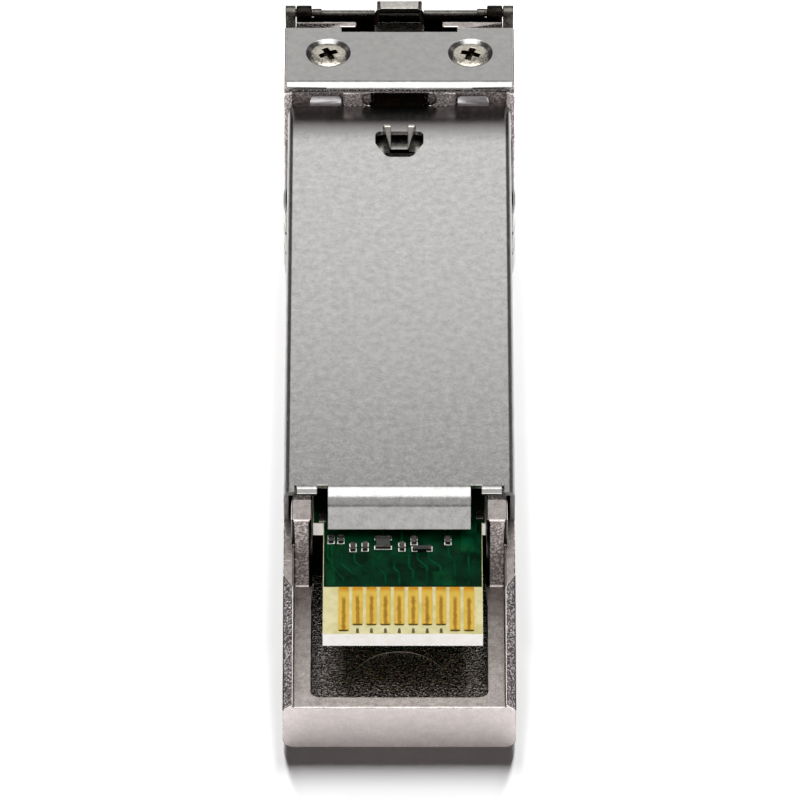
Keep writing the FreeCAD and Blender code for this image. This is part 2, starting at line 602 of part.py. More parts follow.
def build_screws():
    # Raised countersunk heads with a cross recess
    body = group_piece("plate_screws")
    place(body)
    rim = "-sheet * (screw_sink - screw_head) / (screw_sink - screw_seat)"
    profile = [("0", "-screw_drop"), ("screw_crown", "-screw_drop"), ("screw_head", rim),
               ("screw_seat", "-sheet"), ("screw_bore", "-sheet"),
               ("screw_bore", "screw_end - head_top + screw_point"),
               ("screw_bore - screw_point", "screw_end - head_top"), ("0", "screw_end - head_top")]
    turn(body, "Revolution", "YZ_Plane", profile, "V_Axis", offset="screw_across",
         shift=("screw_station", "head_top"))
    for wide, deep in (("recess_arm", "recess_slot"), ("recess_slot", "recess_arm")):
        bar = rectangle("screw_across - " + wide, "screw_across + " + wide,
                        "screw_station - " + deep, "screw_station + " + deep)
        cut_down(body, [bar], "head_top", "head_top - screw_drop - recess_deep")
    solids = [feature for feature in body.Group if feature.isDerivedFrom("PartDesign::FeatureAddSub")]
    mirror = body.newObject("PartDesign::Mirrored", "Mirrored")
    mirror.Originals = solids
    plane = [item for item in body.Origin.OriginFeatures if item.Role == "YZ_Plane"][0]
    mirror.MirrorPlane = (plane, [""])
    body.Tip = mirror
    doc.recompute()


def build_lever():
    # Rear arm with two prongs, trunnion block, and a front arm that ends in a hood over the crossbar
    body = piece("latch_lever")
    place(body)
    arm_top = "arm_high + arm_thick"
    profile = [("prong_rear", "arm_low"), ("riser_front", "arm_low"), ("riser_front", "arm_high"),
               ("hook_rear + arm_thick", "arm_high"), ("hook_rear + arm_thick", "hook_under"),
               ("hook_front", "hook_under"), ("hook_front", "hook_top"), ("hook_rear", "hook_top"),
               ("hook_rear", arm_top), ("block_front", arm_top), ("block_front", "block_top"),
               ("riser_rear", "block_top"), ("riser_rear", "arm_low + arm_thick"),
               ("prong_rear", "arm_low + arm_thick")]
    prism(body, "Pad", "YZ_Plane", [profile], "2 * lever_half", symmetric=True)
    round_edges(body, "hook_round", lambda at, way: near(at.z, "hook_top") and (
        along(way, "y") or near(at.y, "hook_front")))
    hollow = rectangle("hook_rear - bite", "hook_front - hood_wall", arm_top, "hook_top - hood_wall")
    prism(body, "Pocket", "YZ_Plane", [hollow], "2 * (lever_half - hood_wall)", symmetric=True)
    disc(body, "Pad", "YZ_Plane", [("lever_pivot", "lever_axis", "trunnion")], "2 * trunnion_half",
         symmetric=True)
    # Prongs with a sloping back, narrowed to a point at the rear
    wedge = [("prong_rear", "arm_low + arm_thick / 2"), ("prong_station", "arm_low + arm_thick / 2"),
             ("prong_station", "prong_top"), ("prong_station - prong_flat", "prong_top"),
             ("prong_rear", "arm_low + 2 * arm_thick")]
    for start in ("prong_inner", "-prong_outer"):
        prism(body, "Pad", "YZ_Plane", [wedge], "prong_outer - prong_inner", offset=start)
    flank = [("prong_outer", "prong_station"), ("prong_point", "prong_rear"),
             ("prong_point", "prong_rear - bite"), ("prong_outer + past", "prong_rear - bite"),
             ("prong_outer + past", "prong_station")]
    mirrored = [("-(%s)" % across, station) for across, station in flank]
    cut_down(body, [flank, mirrored], "prong_top + bite", "arm_low + arm_thick")


def build_spring():
    # Leaf spring in the channel, with a flat foot and an arched end that bears on the lever's rear arm
    body = piece("latch_spring")
    place(body)
    crest = "arm_low - running"
    upper = [("leaf_foot", "slot_floor + leaf_thick"), ("leaf_bend", "slot_floor + leaf_thick"),
             ("leaf_crest", crest), ("leaf_tip", crest + " - leaf_drop")]
    lower = [(station, level + " - leaf_thick") for station, level in reversed(upper)]
    prism(body, "Pad", "YZ_Plane", [upper + lower], "2 * leaf_half", symmetric=True)
    round_edges(body, "leaf_round", lambda at, way: along(way, "x")
                and (near(at.y, "leaf_bend") or near(at.y, "leaf_crest")))


def build_bail():
    body = piece("bail")
    place(body)
    pivot = ("pivot_station", "pivot_level")
    handle = ("total_length - handle_end", "handle_level")
    bar = ("pivot_station + crank_throw", "pivot_level - crank_throw")
    disc(body, "Pad", "YZ_Plane", [(*handle, "handle_radius")], "2 * (arm_inner + bite)", symmetric=True)
    for start in ("arm_inner", "-arm_outer"):
        strap(body, (*pivot, "ear_round"), (*handle, "handle_end"), "arm_outer - arm_inner", start)
    # Shoulders and journals at the ears, crank webs inside them and the crossbar under the lever's hood
    for start in ("shoulder_inner", "-arm_inner - bite"):
        disc(body, "Pad", "YZ_Plane", [(*pivot, "shoulder")], "arm_inner + bite - shoulder_inner",
             offset=start)
    for start in ("web_inner + bite", "-arm_inner - bite"):
        disc(body, "Pad", "YZ_Plane", [(*pivot, "journal")], "arm_inner - web_inner", offset=start)
    disc(body, "Pad", "YZ_Plane", [(*bar, "crossbar")], "2 * (web_outer - bite)", symmetric=True)
    for start in ("web_inner", "-web_outer"):
        strap(body, (*pivot, "web_round"), (*bar, "web_round"), "web_outer - web_inner", start)


def build_side_spring(label, side):
    body = piece(label)
    place(body)
    wall = "rear_width / 2"
    rise = wall + " + emi_rise"
    inner = [(wall, "emi_front"), (wall, "emi_bump + emi_foot"), (rise, "emi_bump + emi_crown"),
             (rise, "emi_bump - emi_crown"), (wall, "emi_bump - emi_foot"), (wall, "emi_rear")]
    outer = [(across + " + emi_thick", station) for across, station in reversed(inner)]
    outline = [("%d * (%s)" % (side, across), station) for across, station in inner + outer]
    raise_up(body, [outline], "emi_low", "emi_high")
    slits = []
    for step in range(1, FINGER_COUNT):
        level = "emi_low + %d * (emi_high - emi_low) / %d" % (step, FINGER_COUNT)
        slits.append(rectangle("emi_rear - past", "emi_root", level + " - emi_slit / 2",
                               level + " + emi_slit / 2"))
    prism(body, "Pocket", "YZ_Plane", slits, "2 * head_width", symmetric=True)


def build_board():
    body = piece("circuit_board")
    place(body)
    left = "tongue_shift - tongue_half"
    right = "tongue_shift + tongue_half"
    outline = [(left, "board_rear"), (right, "board_rear"), (right, "board_step"),
               ("board_half", "board_step"), ("board_half", "board_front"),
               ("-board_half", "board_front"), ("-board_half", "board_step"), (left, "board_step")]
    raise_up(body, [outline], "board_under", "board_top")


def build_contacts(label, stagger, bottom, top, long_places):
    body = group_piece(label)
    place(body)
    outlines = []
    for index in range(PAD_COUNT):
        middle = "tongue_shift + %s + (%s) * pad_pitch" % (stagger, index - (PAD_COUNT - 1) / 2)
        end = "pad_long" if index in long_places else "pad_short"
        outlines.append(rectangle(middle + " - pad_half", middle + " + pad_half", end, "pad_inner"))
    raise_up(body, outlines, bottom, top)


def build_chip_group(label, places):
    body = group_piece(label)
    place(body)
    outlines = []
    for across, station, wide, deep in places:
        outlines.append(rectangle("%s - %s / 2" % (across, wide), "%s + %s / 2" % (across, wide),
                                  "%s - %s / 2" % (station, deep), "%s + %s / 2" % (station, deep)))
    raise_up(body, outlines, "board_top", "board_top + chip_short")


def build_package(label, across, station, half):
    body = piece(label)
    place(body)
    outline = rectangle("%s - %s" % (across, half), "%s + %s" % (across, half),
                        "%s - %s" % (station, half), "%s + %s" % (station, half))
    raise_up(body, [outline], "board_top", "board_top + package_height")


def build_optics(name, axis):
    shift = ("0", "lc_level")
    barrel = piece(name + "_barrel")
    place(barrel)
    profile = [("can_front", "0"), ("can_front", "barrel_flange"), ("neck_rear", "barrel_flange"),
               ("neck_rear", "barrel_neck"), ("neck_front", "barrel_neck"),
               ("neck_front", "barrel_flange"), ("cavity_end", "barrel_flange"),
               ("cavity_end", "barrel_nose"), ("barrel_tip - barrel_chamfer", "barrel_nose"),
               ("barrel_tip", "barrel_nose - barrel_chamfer"), ("barrel_tip", "barrel_mouth"),
               ("sleeve_front", "barrel_mouth"), ("sleeve_front", "sleeve_outer"),
               ("sleeve_rear", "sleeve_outer"), ("sleeve_rear", "0")]
    turn(barrel, "Revolution", "YZ_Plane", profile, "H_Axis", offset=axis, shift=shift)
    sleeve = piece(name + "_sleeve")
    place(sleeve)
    ring = rectangle("sleeve_rear", "sleeve_front", "sleeve_bore", "sleeve_outer")
    turn(sleeve, "Revolution", "YZ_Plane", ring, "H_Axis", offset=axis, shift=shift)
    cut_down(sleeve, [rectangle(axis + " - sleeve_slit", axis + " + sleeve_slit", "sleeve_rear - past",
                                "sleeve_front + past")], "lc_level + barrel_flange", "lc_level")
    can = piece(name + "_can")
    place(can)
    profile = [("can_rear", "0"), ("can_rear", "barrel_flange"),
               ("can_rear + header_thick", "barrel_flange"), ("can_rear + header_thick", "can_radius"),
               ("can_front", "can_radius"), ("can_front", "0")]
    turn(can, "Revolution", "YZ_Plane", profile, "H_Axis", offset=axis, shift=shift)
    flex = piece(name + "_flex")
    place(flex)
    strip = [("can_rear", "flex_low"), ("can_rear", "board_top + flex_thick"),
             ("flex_rear", "board_top + flex_thick"), ("flex_rear", "board_top"),
             ("can_rear - flex_thick", "board_top"), ("can_rear - flex_thick", "flex_low")]
    prism(flex, "Pad", "YZ_Plane", [strip], "2 * flex_half", offset=axis + " - flex_half")


def build_clamp():
    body = piece("optics_clamp")
    place(body)
    raise_up(body, [rectangle("-clamp_half", "clamp_half", "neck_rear", "neck_front")],
             "floor_level", "clamp_top")
    cut_down(body, both_sides("lc_pitch / 2 - barrel_neck", "lc_pitch / 2 + barrel_neck",
                              "neck_rear - past", "neck_front + past"), "lc_level", "floor_level")
    disc(body, "Pocket", "XZ_Plane", [("lc_pitch / 2", "lc_level", "barrel_neck"),
                                      ("-lc_pitch / 2", "lc_level", "barrel_neck")],
         "neck_front - neck_rear + 2 * past", offset="-neck_front - past", reverse=True)


build_housing()
build_cover()
build_plate()
build_screws()
build_lever()
build_spring()
build_bail()
build_side_spring("emi_spring_left", -1)
build_side_spring("emi_spring_right", 1)
build_board()
build_contacts("edge_contacts_bottom", "pad_stagger", "board_top", "board_top + pad_thick",
               LONG_BOTTOM_PADS)
build_contacts("edge_contacts_top", "-pad_stagger", "board_under - pad_thick", "board_under",
               LONG_TOP_PADS)
build_chip_group("chip_capacitors", CAPACITOR_PLACES)
build_chip_group("chip_resistors", RESISTOR_PLACES)
build_package("controller_chip", "0", "controller_station", "controller_half")
build_package("driver_chip", "lc_pitch / 2", "amp_station", "amp_half")
build_package("amplifier_chip", "-lc_pitch / 2", "amp_station", "amp_half")
build_optics("transmitter", "lc_pitch / 2")
build_optics("receiver", "-lc_pitch / 2")
build_clamp()

doc.recompute()
for item in doc.Objects:
    if "Invalid" in item.State or "Error" in item.State:
        raise RuntimeError("%s failed: %s" % (item.Label, item.State))
for item in pieces:
    if item.Shape.isNull() or not item.Shape.isValid():
        raise RuntimeError("%s has no valid shape" % item.Label)

os.makedirs("parts", exist_ok=True)
for item in pieces:
    item.Shape.exportStep("parts/%s.step" % item.Label)
    box = item.Shape.BoundBox
    print("%-22s solids %2d  volume %8.3f mm3  Y %.2f to %.2f  Z %.2f to %.2f" % (
        item.Label, len(item.Shape.Solids), item.Shape.Volume, box.YMin, box.YMax, box.ZMin, box.ZMax))
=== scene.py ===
import bmesh
import bpy
import math
from mathutils import Matrix, Vector


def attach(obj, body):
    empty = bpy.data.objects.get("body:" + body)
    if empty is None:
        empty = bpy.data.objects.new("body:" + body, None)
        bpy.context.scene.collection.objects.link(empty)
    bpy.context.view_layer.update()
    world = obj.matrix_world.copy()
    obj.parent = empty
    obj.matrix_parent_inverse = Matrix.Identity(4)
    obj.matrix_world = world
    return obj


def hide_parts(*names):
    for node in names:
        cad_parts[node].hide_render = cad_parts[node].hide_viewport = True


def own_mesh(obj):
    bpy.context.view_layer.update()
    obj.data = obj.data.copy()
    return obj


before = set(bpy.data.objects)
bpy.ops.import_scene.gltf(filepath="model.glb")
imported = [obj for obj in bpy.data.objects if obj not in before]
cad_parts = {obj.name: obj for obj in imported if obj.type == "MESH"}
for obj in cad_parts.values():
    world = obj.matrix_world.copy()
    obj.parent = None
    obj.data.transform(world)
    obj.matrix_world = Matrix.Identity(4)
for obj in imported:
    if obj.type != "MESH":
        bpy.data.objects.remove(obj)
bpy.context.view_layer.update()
mm = 0.001  # pieces are modelled in millimetres and brought to metres when they are settled
rearEnd = -28.25  # stations along the module count from its rear end
snap = 0.01  # a vertex this near to a measure lies on it
inColour = {"data_type": "RGBA"}  # setting of a Mix node that blends colours


def linear(code):
    # sRGB hex to a linear colour
    parts = [int(code[i:i + 2], 16) / 255 for i in (1, 3, 5)]
    return [p / 12.92 if p <= 0.04045 else ((p + 0.055) / 1.055) ** 2.4 for p in parts] + [1.0]


def perMm(size):
    # texture scale for a pattern that repeats every size millimetres
    return 1 / (size * mm)


def setInputs(tree, node, inputs):
    # by name, number or order of the sockets; a node stands for its output in use, a hex code for its colour
    for socket, value in (inputs if isinstance(inputs, dict) else dict(enumerate(inputs))).items():
        if isinstance(value, bpy.types.Node):
            value = next(output for output in value.outputs if output.enabled)
        if isinstance(value, str) and value.startswith("#"):
            value = linear(value)
        if isinstance(value, bpy.types.NodeSocket):
            tree.links.new(value, node.inputs[socket])
        else:
            node.inputs[socket].default_value = value


def addNode(tree, kind, inputs=(), **settings):
    # Map Range takes value, from, from, to, to; Mix takes its share at 0 and its colours at 6 and 7
    node = tree.nodes.new(kind)
    for name, value in settings.items():
        setattr(node, name, value)
    setInputs(tree, node, inputs)
    return node


def addObject(name, data):
    item = bpy.data.objects.new(name, data)
    bpy.context.collection.objects.link(item)
    return item


def newMaterial(name):
    material = bpy.data.materials.new(name)
    material.use_nodes = True
    tree = material.node_tree
    place = addNode(tree, "ShaderNodeTexCoord").outputs["Object"]
    return material, tree, tree.nodes["Principled BSDF"], place


# Where the casting's grain gets a painted sparkle and where it stays flat: limits for the way a face looks, its
# height and its station
fleckSet = {"level": (0.93, 0.985), "raised": (2.5 * mm, 3.0 * mm), "lowShare": 0.2, "behind": (-0.95, -0.99),
            "back": -0.05, "end": (rearEnd + 0.1) * mm, "side": (0.80, 0.95), "calm": (0.60, 0.76)}


def grainWithPaintedSparkle(tree, look, place, grain, tone, colour, gloss):
    # grain drawn as dark and bright flecks, partly a painted sparkle, on slopes, inner walls and the floor; none
    # on upper level faces, the sides, the front and the rear end
    normal = addNode(tree, "ShaderNodeNewGeometry").outputs["Normal"]
    facing = addNode(tree, "ShaderNodeSeparateXYZ", (normal,)).outputs
    spot = addNode(tree, "ShaderNodeSeparateXYZ", (place,)).outputs
    level = addNode(tree, "ShaderNodeMapRange", (facing["Z"], *fleckSet["level"]))
    raised = addNode(tree, "ShaderNodeMapRange", (spot["Z"], *fleckSet["raised"], fleckSet["lowShare"]))
    upper = addNode(tree, "ShaderNodeMath", (level, raised), operation="MULTIPLY")
    behind = addNode(tree, "ShaderNodeMapRange", (facing["Y"], *fleckSet["behind"]))
    back = addNode(tree, "ShaderNodeMath", (facing["Y"], fleckSet["back"]), operation="LESS_THAN")
    atEnd = addNode(tree, "ShaderNodeMath", (spot["Y"], fleckSet["end"]), operation="LESS_THAN")
    rear = addNode(tree, "ShaderNodeMath", (back, atEnd), operation="MULTIPLY")
    across = addNode(tree, "ShaderNodeMath", (facing["X"],), operation="ABSOLUTE")
    side = addNode(tree, "ShaderNodeMapRange", (across, *fleckSet["side"]))
    front = addNode(tree, "ShaderNodeMapRange", (facing["Y"], *fleckSet["side"]))
    flat = rear
    for share in (upper, side, front):
        flat = addNode(tree, "ShaderNodeMath", (flat, share), operation="MAXIMUM")
    flecks = addNode(tree, "ShaderNodeMapRange", (grain, *look["fleckEdge"]))
    sparkle = addNode(tree, "ShaderNodeMix", {0: flecks, 6: look["fleck"][0], 7: look["fleck"][1]}, **inColour)
    calm = addNode(tree, "ShaderNodeMapRange", (tone, 0, 1, *fleckSet["calm"]))
    # faces turned to the rear are painted lighter, as light; the rear end gets a calmer tone
    even = addNode(tree, "ShaderNodeMapRange", (rear, 0, 1, flecks, calm))
    wall = addNode(tree, "ShaderNodeMix", {0: even, 6: look["wall"][0], 7: look["wall"][1]}, **inColour)
    colour = addNode(tree, "ShaderNodeMix", {0: flat, 6: sparkle, 7: colour}, **inColour)
    colour = addNode(tree, "ShaderNodeMix", {0: behind, 6: colour, 7: wall}, **inColour)
    gloss = addNode(tree, "ShaderNodeMapRange", (flat, 0, 1, gloss, look["flatGloss"]))
    gloss = addNode(tree, "ShaderNodeMapRange", (behind, 0, 1, gloss, look["wallGloss"]))
    strength = addNode(tree, "ShaderNodeMapRange", (flat, 0, 1, look["bump"], look["flatBump"]))
    return colour, gloss, strength


# One build for most finishes: a cloudy tone, fine grain in the gloss, and grain that lifts the surface
grainSet = {"detail": {"cloud": 3.0, "grain": 2.0}, "toneEdge": (0.35, 0.65), "glossEdge": (0.25, 0.75),
            "metalDepth": 0.25, "skinDepth": 0.2, "shine": 0.5}


def surfaceMaterial(name, look):
    # a look with an index of refraction is a plastic, ceramic or film; all others are metals
    material, tree, shader, place = newMaterial(name)
    isMetal = "ior" not in look
    if "stretch" in look:
        place = addNode(tree, "ShaderNodeMapping", {"Vector": place, "Scale": look["stretch"]}).outputs[0]
    cloud, grain = [addNode(tree, "ShaderNodeTexNoise", {"Vector": place, "Scale": perMm(look[kind]),
                                                         "Detail": detail})
                    for kind, detail in grainSet["detail"].items()]
    both = addNode(tree, "ShaderNodeMix", {0: 0.5, 2: cloud, 3: grain}) if isMetal else cloud
    tone = addNode(tree, "ShaderNodeMapRange", (both, *grainSet["toneEdge"]))
    colour = addNode(tree, "ShaderNodeMix", {0: tone, 6: look["dark"], 7: look["light"]}, **inColour)
    gloss = addNode(tree, "ShaderNodeMapRange", (grain, *grainSet["glossEdge"], *look["gloss"]))
    depth = look.get("depth", grainSet["metalDepth"]) if isMetal else grainSet["skinDepth"]
    strength = look["bump"]
    if "fleck" in look:
        colour, gloss, strength = grainWithPaintedSparkle(tree, look, place, grain, tone, colour, gloss)
    if "nearHeadShade" in look:  # painted shade: darker towards the head, between two stations
        along = addNode(tree, "ShaderNodeSeparateXYZ", (place,)).outputs["Y"]
        reach = [(rearEnd + station) * mm for station in look["nearHeadShadeFrom"]]
        shade = addNode(tree, "ShaderNodeMapRange", (along, *reach), interpolation_type="SMOOTHSTEP")
        colour = addNode(tree, "ShaderNodeMix", {0: shade, 6: colour, 7: look["nearHeadShade"]}, **inColour)
    lift = addNode(tree, "ShaderNodeBump", {"Height": grain, "Strength": strength,
                                            "Distance": look["grain"] * mm * depth})
    setInputs(tree, shader, {"Base Color": colour, "Roughness": gloss, "Normal": lift})
    if isMetal:
        setInputs(tree, shader, {"Metallic": 1.0})
    else:
        shine = look.get("shine", grainSet["shine"])
        setInputs(tree, shader, {"IOR": look["ior"], "Specular IOR Level": shine})
    return material


looks = {  # two tones, gloss, sizes of cloud and grain in millimetres, strength of the bump
    # nickel-plated zinc die casting: bright skin over a sparkling sandy grain, drawn coarser than life to show
    "nickelPlatedZincCasting": {
        "dark": "#9d9591", "light": "#cec8c4", "gloss": (0.18, 0.32), "cloud": 0.4, "grain": 0.13,
        "bump": 1.0, "depth": 1.2, "fleck": ("#5a5252", "#e2dbdb"), "fleckEdge": (0.44, 0.70),
        "wall": ("#a8a09f", "#fff8f5"), "flatGloss": 0.31, "wallGloss": 0.68, "flatBump": 0.16},
    # the casting's edges, burnished by tumbling and lightened as a painted highlight: narrow bright lines
    "burnishedCastingEdge": {
        "dark": "#b9b2ae", "light": "#e0dad6", "gloss": (0.16, 0.26), "cloud": 0.5, "grain": 0.15, "bump": 0.15},
    # the same casting in the bail's groove and in the opening at the rear, painted near-black as shade
    "oilStainedCasting": {
        "dark": "#0e0c0a", "light": "#2b2723", "gloss": (0.25, 0.45), "cloud": 0.7, "grain": 0.15, "bump": 0.3},
    # bright nickel-plated steel sheet: soft mirror with a faint fine speckle, with painted shade near the head
    "brightNickelSheet": {
        "dark": "#bdbdbb", "light": "#dcdcda", "gloss": (0.20, 0.26), "cloud": 0.5, "grain": 0.13, "bump": 0.03,
        "nearHeadShade": "#8c8988", "nearHeadShadeFrom": (43.8, 46.0)},
    # the cover's flanges and corner lips: grey, a painted shade
    "dulledNickelFlange": {
        "dark": "#7c7c7a", "light": "#949492", "gloss": (0.28, 0.38), "cloud": 0.8, "grain": 0.15, "bump": 0.05},
    # the cover's front tabs: painted pale matt white as a highlight
    "scuffedNickelTab": {
        "dark": "#efebed", "light": "#fffcfe", "gloss": (0.34, 0.46), "cloud": 0.4, "grain": 0.14, "bump": 0.4},
    # satin nickel-plated steel plate: greyer and duller than the cover
    "satinNickelPlate": {
        "dark": "#a0a09e", "light": "#aeaeab", "gloss": (0.18, 0.26), "cloud": 0.6, "grain": 0.2, "bump": 0.05},
    # plated stamping: smooth and bright, with small dents
    "platedSteelStamping": {
        "dark": "#aaa8a2", "light": "#cfcdc6", "gloss": (0.16, 0.28), "cloud": 0.9, "grain": 0.2, "bump": 0.12},
    # dark nickel-plated wire: grey and half dull
    "darkPlatedWire": {
        "dark": "#42413d", "light": "#65635d", "gloss": (0.22, 0.36), "cloud": 0.8, "grain": 0.18, "bump": 0.12},
    # lever steel inside the hood and on the riser: painted brown-black as shade, dull
    "darkenedBendSteel": {
        "dark": "#1c150d", "light": "#332a1f", "gloss": (0.35, 0.5), "cloud": 0.6, "grain": 0.15, "bump": 0.2},
    # bright plated screw steel: shiny and slightly warm
    "brightScrewSteel": {
        "dark": "#a39d90", "light": "#d8d3c6", "gloss": (0.16, 0.30), "cloud": 0.6, "grain": 0.2, "bump": 0.25},
    # screw recess: painted dark as shade
    "wornRecessSteel": {
        "dark": "#231f19", "light": "#5a5343", "gloss": (0.26, 0.42), "cloud": 0.25, "grain": 0.12, "bump": 0.5},
    # rolled spring steel strip: grey, drawn along its length
    "rolledSpringSteel": {
        "dark": "#9b9a97", "light": "#c1bfbb", "gloss": (0.18, 0.30), "cloud": 1.2, "grain": 0.15, "bump": 0.1,
        "stretch": (1, 0.15, 1)},
    # turned stainless steel: fine lathe marks round the axis
    "turnedStainlessSteel": {
        "dark": "#a2a2a2", "light": "#c9c9c9", "gloss": (0.20, 0.32), "cloud": 1.0, "grain": 0.1, "bump": 0.15,
        "stretch": (0.2, 1, 0.2)},
    # gold-flashed steel can: pale yellow, softly blotched
    "goldFlashedCan": {
        "dark": "#b79a5c", "light": "#d9c285", "gloss": (0.20, 0.30), "cloud": 0.8, "grain": 0.15, "bump": 0.06},
    # tinned ends of the small chips: dull dark grey
    "dulledTinCap": {
        "dark": "#2f2d2b", "light": "#5f5c58", "gloss": (0.30, 0.48), "cloud": 0.3, "grain": 0.1, "bump": 0.3},
    # reflowed tin solder: white-silver and slightly lumpy
    "reflowedTinSolder": {
        "dark": "#d6d5d0", "light": "#f4f3ef", "gloss": (0.22, 0.40), "cloud": 0.3, "grain": 0.1, "bump": 0.5},
    # green solder mask over bare laminate: almost black green, glossy, slightly wavy
    "greenSolderMask": {
        "dark": "#012010", "light": "#033b20", "gloss": (0.30, 0.42), "cloud": 1.1, "grain": 0.5, "bump": 0.25,
        "ior": 1.4, "shine": 0.05},
    # green solder mask over copper: the metal below makes it lighter
    "maskOverCopper": {
        "dark": "#022f19", "light": "#054b29", "gloss": (0.26, 0.38), "cloud": 0.9, "grain": 0.5, "bump": 0.25,
        "ior": 1.4, "shine": 0.05},
    # bare glass-fibre laminate: cream, a little green where the resin is thick
    "bareGlassLaminate": {
        "dark": "#dbd48e", "light": "#f3ebb6", "gloss": (0.35, 0.55), "cloud": 0.7, "grain": 0.25, "bump": 0.3,
        "ior": 1.5},
    # routed laminate edge: cut glass ends make it whiter and rough
    "routedLaminateEdge": {
        "dark": "#faf5ee", "light": "#fffdfa", "gloss": (0.6, 0.8), "cloud": 0.5, "grain": 0.1, "bump": 0.8,
        "ior": 1.5},
    # etched copper stub left by the plating bars: dull olive brown
    "etchedCopperStub": {
        "dark": "#3a3418", "light": "#6b6236", "gloss": (0.4, 0.6), "cloud": 0.2, "grain": 0.1, "bump": 0.4,
        "ior": 1.5},
    # fired ceramic chip body: brown-black and matt
    "firedChipCeramic": {
        "dark": "#1f1713", "light": "#3d2f28", "gloss": (0.4, 0.6), "cloud": 0.3, "grain": 0.1, "bump": 0.3,
        "ior": 1.6},
    # glazed resistor chip: black glass
    "glazedResistorBlack": {
        "dark": "#0b0b0c", "light": "#1d1d1f", "gloss": (0.2, 0.35), "cloud": 0.3, "grain": 0.1, "bump": 0.15,
        "ior": 1.5},
    # moulded epoxy package: charcoal with a fine spark-eroded skin
    "mouldedEpoxyPackage": {
        "dark": "#161617", "light": "#26262a", "gloss": (0.5, 0.7), "cloud": 1.0, "grain": 0.12, "bump": 0.5,
        "ior": 1.55},
    # ground zirconia sleeve: white with a satin polish
    "groundZirconia": {
        "dark": "#e9e6de", "light": "#f6f4ef", "gloss": (0.12, 0.22), "cloud": 0.8, "grain": 0.1, "bump": 0.1,
        "ior": 2.1},
    # polyimide flexible circuit: amber film over copper
    "polyimideFilm": {
        "dark": "#8a4a10", "light": "#c07a22", "gloss": (0.16, 0.28), "cloud": 0.8, "grain": 0.3, "bump": 0.2,
        "ior": 1.7},
    # moulded glass-filled nylon clamp: black and slightly streaked
    "mouldedNylonBlack": {
        "dark": "#121212", "light": "#222220", "gloss": (0.4, 0.6), "cloud": 1.2, "grain": 0.15, "bump": 0.4,
        "ior": 1.53},
}
materials = {name: surfaceMaterial(name, look) for name, look in looks.items()}

# hard gold over nickel: warm yellow, a brown wipe along the middle from the host's spring, orange at the
# rounded inner end, a painted shadow at the outer tip; each contact carries its own measures across and along
goldSet = {"light": "#f0ca58", "brown": "#b98a33", "orange": "#e0a02e", "tip": "#6b5720", "gloss": (0.28, 0.40),
           "wearSize": 0.3, "wearDetail": 3.0, "wearEdge": (0.3, 0.7), "ragged": 0.14, "wipeEdge": (0.13, 0.21),
           "wipeStart": (0.20, 0.30), "orangeStart": (0.36, 0.46), "tipShadeStart": (-0.478, -0.488)}
gold, tree, shader, place = newMaterial("wipedHardGold")
across, along = [addNode(tree, "ShaderNodeAttribute", attribute_name=name).outputs["Fac"]
                 for name in ("across", "along")]
wear = addNode(tree, "ShaderNodeTexNoise", {"Vector": place, "Scale": perMm(goldSet["wearSize"]),
                                            "Detail": goldSet["wearDetail"]})
apart = addNode(tree, "ShaderNodeMath", (across,), operation="ABSOLUTE")
ragged = addNode(tree, "ShaderNodeMath", (wear, goldSet["ragged"], apart), operation="MULTIPLY_ADD")
middle = addNode(tree, "ShaderNodeMapRange", (ragged, *goldSet["wipeEdge"], 1.0, 0.0))
begun = addNode(tree, "ShaderNodeMapRange", (along, *goldSet["wipeStart"], 1.0, 0.0))
wiped = addNode(tree, "ShaderNodeMath", (middle, begun), operation="MULTIPLY")
inner = addNode(tree, "ShaderNodeMapRange", (along, *goldSet["orangeStart"]))
# painted shadow at the contact's outer tip
tip = addNode(tree, "ShaderNodeMapRange", (along, *goldSet["tipShadeStart"]))
colour = goldSet["light"]
for share, tone in ((wiped, "brown"), (inner, "orange"), (tip, "tip")):
    colour = addNode(tree, "ShaderNodeMix", {0: share, 6: colour, 7: goldSet[tone]}, **inColour)
gloss = addNode(tree, "ShaderNodeMapRange", (wear, *goldSet["wearEdge"], *goldSet["gloss"]))
setInputs(tree, shader, {"Base Color": colour, "Roughness": gloss, "Metallic": 1.0})
materials["wipedHardGold"] = gold
print("materials ready:", len(materials))

# Camera at the photograph's angle, worked out from the outline's perspective
cameraSet = {"place": (0.038 * mm, -484.53 * mm, 426.29 * mm), "pitch": 41.22, "lens": 488.88, "sensor": 36.0,
             "clip": 5.0}
cameraData = bpy.data.cameras.new("camera")
cameraData.lens = cameraSet["lens"]
cameraData.sensor_width = cameraSet["sensor"]
cameraData.clip_end = cameraSet["clip"]
camera = addObject("camera", cameraData)
camera.location = cameraSet["place"]
camera.rotation_euler = (math.radians(90 - cameraSet["pitch"]), 0, 0)
bpy.context.scene.camera = camera
bpy.context.scene.view_settings.view_transform = "Standard"

